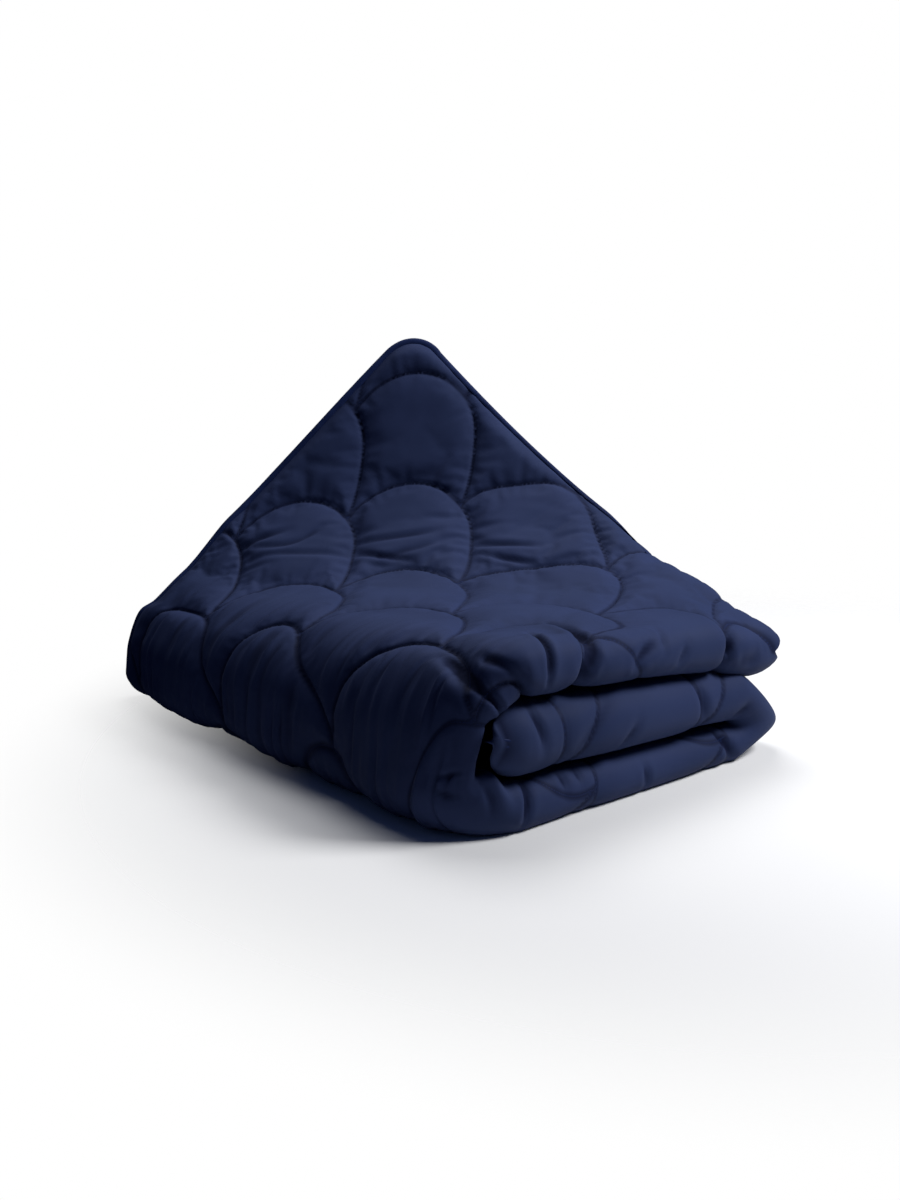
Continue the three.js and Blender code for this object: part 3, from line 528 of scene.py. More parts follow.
# Wrinkles of the cloth: heights, and the steps at which they change along and across the sheet
PUCKER_HEIGHT, PUCKER_STEP, PUCKER_ROWS = 0.0018, 0.013, 3.7
PUCKER_START, PUCKER_REACH = 0.004, 0.020
RIB_HEIGHT, RIB_STEP, RIB_LENGTH = 0.0034, 0.0105, 0.16
RIB_WANDER, RIB_WANDER_U, RIB_WANDER_V = 0.9, 0.10, 0.05
RIB_RANGE = (TOP_RUN - 0.06, TOP_RUN + 0.10)
BEND_HEIGHT, BEND_STEP, BEND_LENGTH = 0.0010, 0.020, 0.085
BEND_WANDER, BEND_WANDER_STEP = 0.7, 0.06
BEND_FROM_TIP, BEND_REACH = 0.42, 0.11
UNEVEN_HEIGHT, UNEVEN_STEP, UNEVEN_FINE = 0.0008, 0.06, 0.6
SEAM_CALM = (0.003, 0.028)
EDGE_CALM = 0.03
# Deep grooves, where the cloth is pulled too tight to pucker: their middles and reaches on the sheet
TIGHT_GROOVES = [((0.44, 0.10), (0.13, 0.17)), ((0.645, 0.07), (0.06, 0.13))]
TIGHT_SHARE = 0.9


def wrinkles(u, v, seam, run, number):
    """Small relief of the cloth: puckers across each stitched line that die away from it, fine folds
    around the large fold, soft folds along the bend of the corner, and a slow unevenness."""
    across, _ = pattern_at(u, v)
    pucker = noise(run / PUCKER_STEP, number * PUCKER_ROWS, 3)
    pucker = pucker * np.exp(-seam / PUCKER_REACH) * (1 - np.exp(-seam / PUCKER_START))
    tight = np.zeros_like(u)
    for (at_u, at_v), (reach_u, reach_v) in TIGHT_GROOVES:
        tight = np.maximum(tight, np.exp(-((u - at_u) / reach_u) ** 2 - ((v - at_v) / reach_v) ** 2))
    pucker = pucker * (1 - TIGHT_SHARE * tight)
    wander = RIB_WANDER * noise(u / RIB_WANDER_U, v / RIB_WANDER_V, 5)
    ribs = noise(v / RIB_STEP + wander, u / RIB_LENGTH, 7) * ease(u, *RIB_RANGE)
    tip = from_corner(u, v)
    wander = BEND_WANDER * noise(across / BEND_WANDER_STEP, tip / BEND_WANDER_STEP, 9)
    bend = noise(tip / BEND_STEP + wander, across / BEND_LENGTH, 11)
    bend = bend * np.exp(-((tip - BEND_FROM_TIP) / BEND_REACH) ** 2)
    uneven = noise(u / UNEVEN_STEP, v / UNEVEN_STEP, 13)
    uneven = uneven + UNEVEN_FINE * noise(2 * u / UNEVEN_STEP, 2 * v / UNEVEN_STEP, 15)
    calm = ease(seam, *SEAM_CALM) * np.clip(edge_distance(u, v) / EDGE_CALM, 0, 1)
    folds = RIB_HEIGHT * ribs + BEND_HEIGHT * bend + UNEVEN_HEIGHT * uneven
    return PUCKER_HEIGHT * pucker + folds * calm


# Faces of the sheet: where the floor presses the outer one, and where the inner one shows
FLOOR_RANGE = (HALF_FOLD, HALF_FOLD + 0.08)
LEAST_HALF = 0.8 * EDGE_HALF
# Share of each wrinkle's trough added to the fold depth that the material darkens as painted shade
WRINKLE_SHADE = 1.3
HOLLOW_END = (0.03, 0.09)
RAISED_ACROSS, RAISED_ALONG = (0.25, 0.45), (0.45, 0.60)
RAISED_WRINKLES = 0.7


def outer_face(u, v):
    """Outer face of the sheet, with its filling, creases and wrinkles, pressed flat on the floor. Also
    gives each point's distance to a seam, its place along it, and how deep it lies in a fold or a
    wrinkle's trough, which the material darkens as painted shade."""
    seam, _, _, run, number = seam_at(u, v)
    floor = ease(u, *arc_range(0.6, 0.95)) * (1 - ease(u, RIGHT_FOLD_START, RIGHT_FOLD_END))
    floor = floor * ease(v, *FLOOR_RANGE)
    press = FLOOR_PRESS * floor * np.clip(edge_distance(u, v) / EDGE_REACH, 0, 1)
    shown = ease(v, -HALF_FOLD, 0) * (1 - ease(u, *arc_range(0.75, 1)))
    fold = creases(u, v)
    relief = wrinkles(u, v, seam, run, number) * shown
    off = np.maximum(ply_half(u, v, seam, 1) + press + relief - fold, LEAST_HALF)
    points = folded(u, v, off)
    points[..., 2] = np.maximum(points[..., 2], 0)
    return points, seam, run, fold - WRINKLE_SHADE * np.minimum(relief, 0)


def inner_face(u, v):
    """Face between the plies, which leaves a narrow hollow along the half fold, closed at its ends. It
    has the wrinkles of the outer face's kind where the corner is turned up, and no creases."""
    seam, _, _, run, number = seam_at(u, v)
    swell = ply_half(u, v, seam, 0)
    flat = ease(np.abs(v), HALF_FOLD, HALF_FOLD + NEAR_FOLD)
    flat = np.maximum(flat, 1 - ease(np.minimum(u, LENGTH - u), *HOLLOW_END))
    off = np.minimum(swell, SEAM_HALF + (swell - SEAM_HALF) * flat)
    raised = ease(v, *RAISED_ACROSS) * (1 - ease(u, *RAISED_ALONG))
    relief = RAISED_WRINKLES * raised * wrinkles(u, v, seam, run, number + 5)
    points = folded(u, v, -off - relief)
    points[..., 2] = np.maximum(points[..., 2], 0)
    return points, seam, run, np.zeros_like(u)


def grid_lines(start, stretches):
    """Even steps over each stretch of (length, step), joined end to end from start."""
    lines = np.array([start])
    for length, step in stretches:
        count = max(1, round(length / step))
        lines = np.concatenate([lines, lines[-1] + length * np.arange(1, count + 1) / count])
    return lines


# Slack of the cloth between its stitched lines: a sheet over the shown side is pinned on the seams,
# made a little larger than its place and blown up by the filling, so it wrinkles as cloth does.
SLACK_STEP = 0.0065
SLACK = 0.025
SLACK_PRESSURE = 1.2
SLACK_CAP = 0.008
SLACK_FRAMES = 18
SLACK_HELD = 0.55 * SLACK_STEP
SLACK_EDGE = 0.010
SLACK_WRAP, SLACK_WRAP_RANGE = 0.016, (TOP_RUN - 0.10, TOP_RUN + 0.10)
SLACK_RULES = {
    "quality": 6, "mass": 0.12, "tension_stiffness": 14.0, "compression_stiffness": 14.0,
    "shear_stiffness": 6.0, "bending_stiffness": 0.8, "air_damping": 3.0,
    "vertex_group_mass": "sewn", "shrink_min": -SLACK, "shrink_max": -SLACK,
    "use_pressure": True, "uniform_pressure_force": SLACK_PRESSURE}
slack_u = np.linspace(0, TOP_RUN + LEFT_ARC, round((TOP_RUN + LEFT_ARC) / SLACK_STEP) + 1)
slack_v = np.linspace(-HALF_FOLD, HALF_WIDTH, round((HALF_WIDTH + HALF_FOLD) / SLACK_STEP) + 1)


def grid_faces(number):
    """Four-sided faces between the rows and columns of numbered grid points."""
    return np.stack([number[:-1, :-1], number[:-1, 1:], number[1:, 1:], number[1:, :-1]], -1).reshape(-1, 4)


def mesh_piece(name, points, faces, layers):
    """A smooth mesh at the origin, with a UV layer for each named row of two values a point."""
    mesh = bpy.data.meshes.new(name)
    mesh.from_pydata(points.tolist(), [], faces)
    corner = np.zeros(len(mesh.loops), np.int32)
    mesh.loops.foreach_get("vertex_index", corner)
    for layer, values in layers.items():
        mesh.uv_layers.new(name=layer).data.foreach_set("uv", values[corner].astype(np.float32).ravel())
    mesh.polygons.foreach_set("use_smooth", np.ones(len(mesh.polygons), bool))
    mesh.update()
    piece = bpy.data.objects.new(name, mesh)
    bpy.context.scene.collection.objects.link(piece)
    return piece


def slack_moves():
    """How far each point of the slack grid moves: Blender's Cloth is run on it from the folded shape, with
    the unswollen one as its rest, and the moves are capped by a hyperbolic tangent."""
    u, v = np.meshgrid(slack_u, slack_v, indexing="ij")
    start, seam, _, _ = outer_face(*round_corner(u, v))
    faces = grid_faces(np.arange(u.size).reshape(u.shape))
    piece = mesh_piece("slack_cloth", start.reshape(-1, 3), faces.tolist(), {})
    piece.shape_key_add(name="folded")
    smooth = piece.shape_key_add(name="unswollen")
    unswollen = folded(*round_corner(u, v), SLACK_WRAP * ease(u, *SLACK_WRAP_RANGE))
    smooth.data.foreach_set("co", unswollen.astype(np.float32).ravel())
    border = np.ones(u.shape, bool)
    border[2:-2, 2:-2] = False
    held = border | (seam < SLACK_HELD) | (edge_distance(u, v) < SLACK_EDGE)
    sewn = piece.vertex_groups.new(name="sewn")
    sewn.add(np.flatnonzero(held).tolist(), 1.0, "REPLACE")
    cloth = piece.modifiers.new("slack", "CLOTH")
    for rule, value in SLACK_RULES.items():
        setattr(cloth.settings, rule, value)
    cloth.settings.rest_shape_key = smooth
    cloth.settings.effector_weights.gravity = 0
    cloth.collision_settings.use_collision = False
    cloth.point_cache.frame_end = SLACK_FRAMES
    for moment in range(1, SLACK_FRAMES + 1):
        bpy.context.scene.frame_set(moment)
    blown = piece.evaluated_get(bpy.context.evaluated_depsgraph_get()).to_mesh()
    end = np.zeros(u.size * 3)
    blown.vertices.foreach_get("co", end)
    bpy.data.objects.remove(piece)
    bpy.context.scene.frame_set(1)
    moves = end.reshape(start.shape) - start
    size = np.linalg.norm(moves, axis=-1, keepdims=True)
    return moves * SLACK_CAP * np.tanh(size / SLACK_CAP) / np.maximum(size, 1e-9)


def blend_weights(lines, even):
    """Weights that read a row of evenly spaced values at each line, by a cubic through the four nearest."""
    step = even[1] - even[0]
    spot = np.clip((lines - even[0]) / step, 0, len(even) - 1.001)
    cell = np.floor(spot).astype(int)
    t = spot - cell
    shares = (-t / 2 + t ** 2 - t ** 3 / 2, 1 - 2.5 * t ** 2 + 1.5 * t ** 3,
              t / 2 + 2 * t ** 2 - 1.5 * t ** 3, -t ** 2 / 2 + t ** 3 / 2)
    weights = np.zeros((len(lines), len(even)))
    for k, share in enumerate(shares):
        np.add.at(weights, (np.arange(len(lines)), np.clip(cell + k - 1, 0, len(even) - 1)), share)
    return weights * ((lines >= even[0]) & (lines <= even[-1]))[:, None]


# Steps of the mesh: finest at the front, in the throat and at the foot of the large fold
FINE_U = 0.0058
FINE_V = 0.0036
FINE_ACROSS = 0.25
SHOWN_V = 1.3 * FINE_V
HIDDEN_V, NEAR_V = 0.029, 0.010
LOWER_U = 0.0062
LOWER_FINE = 0.12
INNER_STEP = 0.0178
RAISED_TO, RAISED_FROM = 0.46, 0.38
SNAP_REACH, SPARSE_REACH = 0.5 * FINE_V, 0.0055
SNAP_EDGE = 0.02
SNAP_PASSES = 4
THROAT_FROM, THROAT_TO = 0.44, 0.68
FOOT_FROM, FOOT_TO = 0.77, 0.84
outer_u = grid_lines(0, [
    (THROAT_FROM, FINE_U), (THROAT_TO - THROAT_FROM, FINE_V), (FOOT_FROM - THROAT_TO, FINE_U),
    (FOOT_TO - FOOT_FROM, FINE_V), (TOP_RUN + LEFT_ARC - FOOT_TO, FINE_U),
    (BOTTOM_RUN + RIGHT_ARC + MIDDLE_RUN, LOWER_U)])
outer_v = grid_lines(-HALF_WIDTH, [
    (HALF_WIDTH - HALF_FOLD - NEAR_FOLD, HIDDEN_V), (NEAR_FOLD, NEAR_V),
    (2 * HALF_FOLD + FINE_ACROSS, FINE_V), (HALF_WIDTH - HALF_FOLD - FINE_ACROSS, SHOWN_V)])


def keep_lines(lines, least):
    """Numbers of the grid lines that stay when those closer than least to the last kept are left out."""
    kept = [0]
    for k in range(1, len(lines)):
        if lines[k] - lines[kept[-1]] > least or k == len(lines) - 1:
            kept.append(k)
    return np.array(kept)


lower_i = np.searchsorted(outer_u, TOP_RUN + LEFT_ARC + LOWER_U / 2)
shared_j = keep_lines(outer_v, INNER_STEP)
lower_j = np.union1d(np.flatnonzero(outer_v < LOWER_FINE), shared_j)
raised_i, raised_j = np.flatnonzero(outer_u < RAISED_TO), np.flatnonzero(outer_v > RAISED_FROM)
inner_i = np.union1d(keep_lines(outer_u, INNER_STEP), raised_i[::2])
inner_j = np.union1d(shared_j, raised_j[::2])


def on_seams(u, v, reach):
    """Grid points closer than reach to a stitched line are drawn onto it, so each seam is a row of edges.
    The way to the line is taken a few times over, because the lines drift."""
    u, v = u.copy(), v.copy()
    near = (seam_at(u, v)[0] < reach) & (edge_distance(u, v) > SNAP_EDGE)
    for _ in range(SNAP_PASSES):
        _, way_u, way_v, _, _ = seam_at(u[near], v[near])
        u[near] = u[near] + way_u
        v[near] = v[near] + way_v
    return u, v


# Where the cloth of the top is slack, along the bend of the turned-up corner, and how taut it is elsewhere
SLACK_FROM_TIP, SLACK_REACH = 0.44, 0.14
TAUT_SHARE = 0.65


def body_mesh(name):
    """Closed mesh of the sheet: the outer grid, which keeps fewer lines on its hidden lower side, the
    sparser grid between the plies on some of its lines, and many-sided faces that join their edges."""
    flat_u, flat_v = round_corner(*np.meshgrid(outer_u, outer_v, indexing="ij"))
    coarse_v = (outer_v < -HALF_FOLD) | (outer_v > LOWER_FINE + HALF_FOLD)
    sparse = (np.arange(len(outer_u)) >= lower_i)[:, None] & coarse_v
    u, v = on_seams(flat_u, flat_v, np.where(sparse, SPARSE_REACH, SNAP_REACH))
    top, top_seam, top_run, top_fold = outer_face(u, v)
    rows, columns = blend_weights(outer_u, slack_u), blend_weights(outer_v, slack_v)
    moves = np.einsum("ia,jb,abk->ijk", rows, columns, slack_moves(), optimize=True)
    bend = np.exp(-((from_corner(u, v) - SLACK_FROM_TIP) / SLACK_REACH) ** 2)
    taut = 1 - bend * (u < TOP_RUN)
    top = top + moves * (1 - TAUT_SHARE * taut)[..., None]
    top[..., 2] = np.maximum(top[..., 2], 0)
    chosen = np.ix_(inner_i, inner_j)
    low_u, low_v = on_seams(flat_u[chosen], flat_v[chosen], SPARSE_REACH)
    low, low_seam, low_run, low_fold = inner_face(low_u, low_v)
    used = np.ones(u.shape, bool)
    used[lower_i:] = np.isin(np.arange(len(outer_v)), lower_j)
    number = np.full(u.shape, -1)
    number[used] = np.arange(used.sum())
    low_number = used.sum() + np.arange(low_u.size).reshape(low_u.shape)
    faces = np.concatenate([
        grid_faces(number[:lower_i]), grid_faces(number[lower_i:, lower_j]),
        grid_faces(low_number)[:, ::-1]])
    rim = []
    for first, last in zip(lower_j[:-1], lower_j[1:]):
        rim.append([*number[lower_i - 1, first:last + 1], number[lower_i, last], number[lower_i, first]])
    every_i, every_j = np.arange(len(outer_u)), np.arange(len(outer_v))
    sides = (
        (every_j, inner_j, inner_j, number[0], low_number[0], False),
        (lower_j, inner_j, shared_j, number[-1, lower_j], low_number[-1], True),
        (every_i, inner_i, inner_i, number[:, 0], low_number[:, 0], True),
        (every_i, inner_i, inner_i, number[:, -1], low_number[:, -1], False))
    for upper_lines, lower_lines, shared, upper, lower, turned in sides:
        upper_at, lower_at = np.searchsorted(upper_lines, shared), np.searchsorted(lower_lines, shared)
        for k in range(len(shared) - 1):
            over = upper[upper_at[k]:upper_at[k + 1] + 1]
            under = lower[lower_at[k]:lower_at[k + 1] + 1]
            ring = [*over[::-1], *under]
            rim.append(ring[::-1] if turned else ring)
    points = np.concatenate([top[used], low.reshape(-1, 3)])
    flat = np.concatenate([np.stack([u, v], -1)[used], np.stack([low_u, low_v], -1).reshape(-1, 2)])
    sewn = np.concatenate([
        np.stack([top_run, top_seam], -1)[used], np.stack([low_run, low_seam], -1).reshape(-1, 2)])
    deep = np.concatenate([top_fold[used], low_fold.ravel()])
    # The fold depth layer drives the painted shade in the cloth's folds and wrinkle troughs
    layers = {"Sheet": flat, "Seam": sewn, "FoldShade": np.stack([deep, 0 * deep], -1)}
    return mesh_piece(name, points, faces.tolist() + rim, layers)


class Shade:
    """One value of a material: a socket whose operators add Math nodes to its tree."""

    def __init__(self, tree, socket=None):
        self.tree = tree
        self.socket = socket

    def node(self, kind, settings=None, inputs=None, output=0):
        """Adds one node: its settings come first, then the values or links of its sockets."""
        made = self.tree.nodes.new(kind)
        for key, value in (settings or {}).items():
            setattr(made, key, value)
        for key, value in (inputs or {}).items():
            if isinstance(value, Shade):
                self.tree.links.new(value.socket, made.inputs[key])
            else:
                made.inputs[key].default_value = value
        return Shade(self.tree, made.outputs[output] if made.outputs else None)

    def math(self, operation, *values):
        return self.node("ShaderNodeMath", {"operation": operation}, dict(enumerate(values)))

    def __add__(self, other):
        return self.math("ADD", self, other)

    def __radd__(self, other):
        return self.math("ADD", other, self)

    def __sub__(self, other):
        return self.math("SUBTRACT", self, other)

    def __rsub__(self, other):
        return self.math("SUBTRACT", other, self)

    def __mul__(self, other):
        return self.math("MULTIPLY", self, other)

    def __rmul__(self, other):
        return self.math("MULTIPLY", other, self)

    def part(self, k):
        """One of the three numbers of a vector."""
        return self.node("ShaderNodeSeparateXYZ", None, {0: self}, k)

    def sine(self):
        return self.math("SINE", self)

    def smooth(self, low, high):
        """0 below low and 1 above high, eased between."""
        return self.node("ShaderNodeMapRange", {"interpolation_type": "SMOOTHSTEP"},
                         {"Value": self, "From Min": low, "From Max": high})

    def mix(self, low, high):
        """Colour low where this value is 0 and colour high where it is 1."""
        return self.node("ShaderNodeMix", {"data_type": "RGBA"}, {0: self, 6: low, 7: high}, 2)


def new_finish(name):
    """An empty material and a Shade that adds nodes to it."""
    material = bpy.data.materials.new(name)
    material.use_nodes = True
    material.node_tree.nodes.clear()
    return material, Shade(material.node_tree)


def linear(red, green, blue):
    """Linear colour of an 8-bit display colour."""
    part = np.array([red, green, blue]) / 255
    return (*np.where(part < 0.04045, part / 12.92, ((part + 0.055) / 1.055) ** 2.4), 1.0)


CLOTH_NAVY = linear(39, 49, 82)
CLOTH_DEEP = linear(35, 45, 76)
CLOTH_WORN = linear(44, 55, 88)
# Dark navy painted into the seam grooves and the bottoms of folds: painted shade, not a colour of the cloth
CLOTH_PAINTED_SHADE = linear(7, 12, 36)
THREAD_NAVY = linear(27, 40, 80)
CLOTH_SHEEN = {
    "Sheen Weight": 0.02, "Sheen Roughness": 0.45, "Sheen Tint": linear(205, 212, 232),
    "Specular IOR Level": 0.06}
WEAVE_TURN, WEAVE_HEIGHT = 2 * math.pi / 0.00055, 0.00003
STITCH_TURN, STITCH_HEIGHT = 2 * math.pi / 0.0042, 0.0004
SLUB_HEIGHT = 0.00006


def navy_cloth(name):
    """Plain woven microfibre with a faint sheen: fine crossing threads in the bump, slow changes of
    tone, a little wear on the crowns, folds made matt and darkened as painted shade, seam grooves
    darkened as painted shade, and a row of stitches sunk along each seam."""
    material, shade = new_finish(name)
    place = shade.node("ShaderNodeTexCoord", output=3)
    sheet = shade.node("ShaderNodeUVMap", {"uv_map": "Sheet"})
    sewn = shade.node("ShaderNodeUVMap", {"uv_map": "Seam"})
    folds = shade.node("ShaderNodeUVMap", {"uv_map": "FoldShade"})
    run, seam = sewn.part(0), sewn.part(1)
    # deep: how far a point lies in a fold or wrinkle trough, used to paint shade there and to make it matt
    deep = folds.part(0).smooth(0.001, 0.007)
    slow = shade.node("ShaderNodeTexNoise", None, {"Vector": place, "Scale": 7.0, "Detail": 4.0})
    slub = shade.node("ShaderNodeTexNoise", None, {"Vector": place, "Scale": 420.0, "Detail": 2.0})
    crown = seam.smooth(0.02, 0.085)
    stitch = (run * STITCH_TURN).sine().smooth(-0.35, 0.05) * (1 - seam.smooth(0.0003, 0.0009))
    colour = slow.smooth(0.3, 0.7).mix(CLOTH_DEEP, CLOTH_NAVY)
    colour = (crown * slub * 0.5).mix(colour, CLOTH_WORN)
    # Painted shade: the seam grooves are darkened towards dark navy
    colour = (0.70 * (1 - seam.smooth(0.0006, 0.006))).mix(colour, CLOTH_PAINTED_SHADE)
    # Painted shade: fold bottoms and wrinkle troughs are darkened towards dark navy
    colour = (0.80 * deep).mix(colour, CLOTH_PAINTED_SHADE)
    colour = (stitch * 0.7).mix(colour, THREAD_NAVY)
    warp = (sheet.part(0) * WEAVE_TURN).sine()
    weft = (sheet.part(1) * WEAVE_TURN).sine()
    height = warp * weft * WEAVE_HEIGHT + slub * SLUB_HEIGHT + stitch * STITCH_HEIGHT
    normal = shade.node("ShaderNodeBump", None, {"Strength": 0.6, "Distance": 1.0, "Height": height})
    rough = 0.60 + 0.10 * slow + 0.06 * slub + 0.22 * deep
    cloth = shade.node("ShaderNodeBsdfPrincipled", None, {
        "Base Color": colour, "Roughness": rough, "Normal": normal, **CLOTH_SHEEN})
    shade.node("ShaderNodeOutputMaterial", None, {"Surface": cloth})
    return material


duvet = body_mesh("quilted_duvet")
duvet.data.materials.append(navy_cloth("navy_quilted_cloth"))
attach(duvet, "root")
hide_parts("duvet_body")


# Edge binding: one navy tape folded over the sewn edge of the sheet and topstitched through both
# faces, carried once around. It turns the round corners and follows the edge through every fold.
BINDING_WIDTH = 0.011
BINDING_HALF = 0.0052
BINDING_LAP = 0.004
BINDING_STEP = 0.006
BINDING_SIDES = 16
BINDING_FEEL = 0.002
BINDING_DRAWN = 0.8
BINDING_FLAT, BINDING_TALL = 0.7, 0.8
BINDING_FLOOR = 0.0005
BINDING_UNEVEN, BINDING_GATHER = 0.07, 0.011
# Tape colours: two tones of navy, and a dark navy painted along the stitched dip as painted shade
TAPE_DEEP, TAPE_NAVY, TAPE_PAINTED_SHADE = linear(20, 31, 66), linear(27, 40, 80), linear(9, 16, 46)
TAPE_STITCH, TAPE_DIP = 0.02, 0.0003
TAPE_RIB_TURN, TAPE_RIB_HEIGHT, TAPE_SLUB_HEIGHT = 2 * math.pi / 0.0009, 0.00004, 0.00008


def edge_path(step):
    """Points once around the sewn edge of the flat sheet and the way inward at each, by walking its
    four straight sides and four quarter circles at even steps."""
    first_u, last_u = CORNER_RADIUS, LENGTH - CORNER_RADIUS
    last_v = HALF_WIDTH - CORNER_RADIUS
    cores = [
        (first_u, -last_v, 180, 2 * last_v), (first_u, last_v, 90, last_u - first_u),
        (last_u, last_v, 0, 2 * last_v), (last_u, -last_v, 270, last_u - first_u)]
    u, v, in_u, in_v = [], [], [], []
    for core_u, core_v, facing, side in cores:
        angle = math.radians(facing)
        along_u, along_v = math.sin(angle), -math.cos(angle)
        count = round(side / step)
        share = np.arange(count) / count * side
        u.append(core_u + CORNER_RADIUS * math.cos(angle) + along_u * share)
        v.append(core_v + CORNER_RADIUS * math.sin(angle) + along_v * share)
        in_u.append(np.full(count, -math.cos(angle)))
        in_v.append(np.full(count, -math.sin(angle)))
        turn = round(CORNER_RADIUS * math.pi / 2 / step)
        bend = angle - math.pi / 2 * np.arange(turn) / turn
        end_u, end_v = core_u + along_u * side, core_v + along_v * side
        u.append(end_u + CORNER_RADIUS * np.cos(bend))
        v.append(end_v + CORNER_RADIUS * np.sin(bend))
        in_u.append(-np.cos(bend))
        in_v.append(-np.sin(bend))
    return tuple(np.concatenate(part) for part in (u, v, in_u, in_v))


def binding_mesh(name):
    """A flattened round section carried around the edge: its outward way is the sheet's own, and its
    up is the outer face's, with a small unevenness where the tape is gathered by its stitches. In the
    hairpin of the half fold it is drawn in, so it hardly stands out there."""
    u, v, in_u, in_v = edge_path(BINDING_STEP)
    middle = np.zeros_like(u)
    rim = folded(u, v, middle)
    out = rim - folded(u + BINDING_FEEL * in_u, v + BINDING_FEEL * in_v, middle)
    out = out / np.linalg.norm(out, axis=-1, keepdims=True)
    up = folded(u, v, middle + BINDING_FEEL) - folded(u, v, middle - BINDING_FEEL)
    up = up / np.linalg.norm(up, axis=-1, keepdims=True)
    sides = BINDING_SIDES
    angle = 2 * np.pi * np.arange(sides) / sides
    run = BINDING_STEP * np.arange(len(u))
    plump = 1 + BINDING_UNEVEN * noise(run / BINDING_GATHER, run * 0, 21)
    flat = np.abs(np.cos(angle)) ** BINDING_FLAT * np.sign(np.cos(angle))
    tall = np.abs(np.sin(angle)) ** BINDING_TALL * np.sign(np.sin(angle))
    reach = (BINDING_WIDTH - BINDING_LAP) / 2 + (BINDING_WIDTH + BINDING_LAP) / 2 * flat
    rise = BINDING_HALF * tall[None, :] * plump[:, None]
    drawn = 1 - BINDING_DRAWN * np.exp(-(v / HALF_FOLD) ** 2)
    past = reach[None, :] * drawn[:, None]
    points = rim[:, None] + out[:, None] * past[..., None] + up[:, None] * rise[..., None]
    points[..., 2] = np.maximum(points[..., 2], BINDING_FLOOR)
    count = len(u)
    number = np.arange(count * sides).reshape(count, sides)
    ahead, turned = np.roll(number, -1, 0), np.roll(number, -1, 1)
    faces = np.stack([number, turned, np.roll(ahead, -1, 1), ahead], -1).reshape(-1, 4)
    across = np.broadcast_to(reach / BINDING_WIDTH, (count, sides))
    along = np.broadcast_to(run[:, None], (count, sides))
    tape = np.stack([along, across], -1).reshape(-1, 2)
    return mesh_piece(name, points.reshape(-1, 3), faces.tolist(), {"Tape": tape})


def binding_tape(name):
    """Navy tape, a little deeper than the cloth, with a fine rib across it and a row of stitches near
    its inner edge, where the tape dips and is darkened as painted shade."""
    material, shade = new_finish(name)
    place = shade.node("ShaderNodeTexCoord", output=3)
    tape = shade.node("ShaderNodeUVMap", {"uv_map": "Tape"})
    along, across = tape.part(0), tape.part(1)
    slow = shade.node("ShaderNodeTexNoise", None, {"Vector": place, "Scale": 12.0, "Detail": 4.0})
    slub = shade.node("ShaderNodeTexNoise", None, {"Vector": place, "Scale": 500.0, "Detail": 2.0})
    near = 1 - shade.math("ABSOLUTE", across - TAPE_STITCH).smooth(0.03, 0.07)
    stitch = (along * STITCH_TURN).sine().smooth(-0.35, 0.05) * near
    colour = slow.smooth(0.3, 0.7).mix(TAPE_DEEP, TAPE_NAVY)
    # Painted shade along the stitched dip
    colour = (0.5 * near).mix(colour, TAPE_PAINTED_SHADE)
    colour = (stitch * 0.8).mix(colour, THREAD_NAVY)
    rib = (along * TAPE_RIB_TURN).sine()
    height = rib * TAPE_RIB_HEIGHT + slub * TAPE_SLUB_HEIGHT + stitch * STITCH_HEIGHT - near * TAPE_DIP
    normal = shade.node("ShaderNodeBump", None, {"Strength": 0.6, "Distance": 1.0, "Height": height})
    cloth = shade.node("ShaderNodeBsdfPrincipled", None, {
        "Base Color": colour, "Roughness": 0.46 + 0.12 * slow, "Normal": normal, **CLOTH_SHEEN})
    shade.node("ShaderNodeOutputMaterial", None, {"Surface": cloth})
    return material


binding = binding_mesh("bound_edge")
binding.data.materials.append(binding_tape("navy_binding_tape"))
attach(binding, "root")
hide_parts("edge_binding")


# Studio: a pale floor that fades into a white backdrop, one soft light at the front right, a wider one
# overhead and behind, and a faint blue fill from all around. The camera stands at the height and
# angle of the photograph.
FLOOR_MIDDLE = (0.30, -0.40, 0.0)
FLOOR_PLAIN = 0.70
FLOOR_FADE = 1.3
FLOOR_REACH = 1.7
FLOOR_LEVEL = -0.0005
FLOOR_PAINT = (0.76, 0.76, 0.76, 1)


def pale_floor(name):
    """Matt pale paint, plain around the pile and fading away by its distance from the floor's middle."""
    material, shade = new_finish(name)
    place = shade.node("ShaderNodeTexCoord", output=3)
    away = shade.node("ShaderNodeVectorMath", {"operation": "SUBTRACT"}, {0: place, 1: FLOOR_MIDDLE})
    distance = shade.node("ShaderNodeVectorMath", {"operation": "LENGTH"}, {0: away}, 1)
    paint = shade.node("ShaderNodeBsdfPrincipled", None, {
        "Base Color": FLOOR_PAINT, "Roughness": 0.8, "Alpha": 1 - distance.smooth(FLOOR_PLAIN, FLOOR_FADE)})
    shade.node("ShaderNodeOutputMaterial", None, {"Surface": paint})
    return material


square = np.array([(-1, -1, 0), (1, -1, 0), (1, 1, 0), (-1, 1, 0)]) * FLOOR_REACH
floor = mesh_piece("studio_floor", square + (0, 0, FLOOR_LEVEL), [(0, 1, 2, 3)], {})
floor.data.materials.append(pale_floor("pale_floor"))

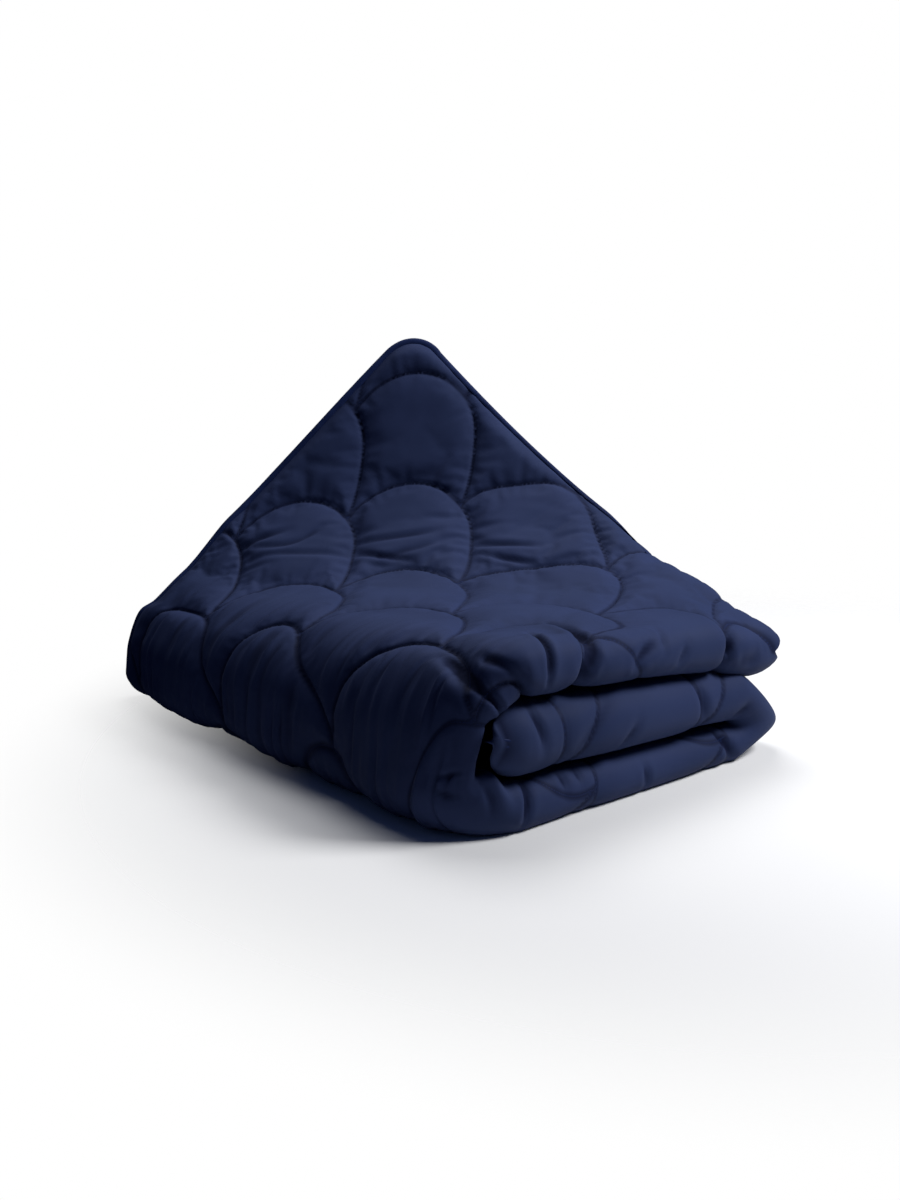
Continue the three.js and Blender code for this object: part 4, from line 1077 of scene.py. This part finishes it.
FILL_COLOUR, FILL_STRENGTH = (0.22, 0.38, 1, 1), 0.06
sky = bpy.data.worlds.new("studio_sky")
sky.use_nodes = True
sky.node_tree.nodes.clear()
air = Shade(sky.node_tree)
fill = air.node("ShaderNodeBackground", None, {"Color": FILL_COLOUR, "Strength": FILL_STRENGTH})
backdrop = air.node("ShaderNodeBackground", None, {"Color": (1, 1, 1, 1), "Strength": 1.0})
seen = air.node("ShaderNodeLightPath", output=0)
around = air.node("ShaderNodeMixShader", None, {0: seen, 1: fill, 2: backdrop})
air.node("ShaderNodeOutputWorld", None, {"Surface": around})
bpy.context.scene.world = sky

LIGHT_AIM = (0, 0, 0.2)


def soft_light(name, place, size, power):
    """A square area light of that size at a place, turned to the middle of the pile."""
    lamp = bpy.data.lights.new(name, "AREA")
    lamp.size = size
    lamp.energy = power
    piece = bpy.data.objects.new(name, lamp)
    bpy.context.scene.collection.objects.link(piece)
    piece.location = place
    way = Vector(place) - Vector(LIGHT_AIM)
    piece.rotation_euler = way.to_track_quat("Z", "Y").to_euler()


soft_light("key_softbox", (1.60, -1.80, 2.3), 0.9, 108)
soft_light("top_softbox", (0.6, 0.7, 2.6), 1.6, 45)
bpy.context.scene.view_settings.view_transform = "Standard"

PHOTO_AZIMUTH = math.radians(-40.643)
PHOTO_ELEVATION = math.radians(13.343)
PHOTO_DISTANCE = 2.8
PHOTO_AIM = (0.0157, -0.0312, 0.235)
# Lens of the photograph: its focal length and the height of the picture, both in pixels
PHOTO_FOCAL, PHOTO_HEIGHT = 1565.5, 1200
lens = bpy.data.cameras.new("photo_camera")
lens.sensor_fit = "VERTICAL"
lens.sensor_height = 36.0
lens.lens = PHOTO_FOCAL / PHOTO_HEIGHT * lens.sensor_height
camera = bpy.data.objects.new("photo_camera", lens)
bpy.context.scene.collection.objects.link(camera)
camera.location = (
    PHOTO_AIM[0] + math.sin(PHOTO_AZIMUTH) * math.cos(PHOTO_ELEVATION) * PHOTO_DISTANCE,
    PHOTO_AIM[1] - math.cos(PHOTO_AZIMUTH) * math.cos(PHOTO_ELEVATION) * PHOTO_DISTANCE,
    PHOTO_AIM[2] + math.sin(PHOTO_ELEVATION) * PHOTO_DISTANCE)
camera.rotation_euler = (math.pi / 2 - PHOTO_ELEVATION, 0, PHOTO_AZIMUTH)
bpy.context.scene.camera = camera
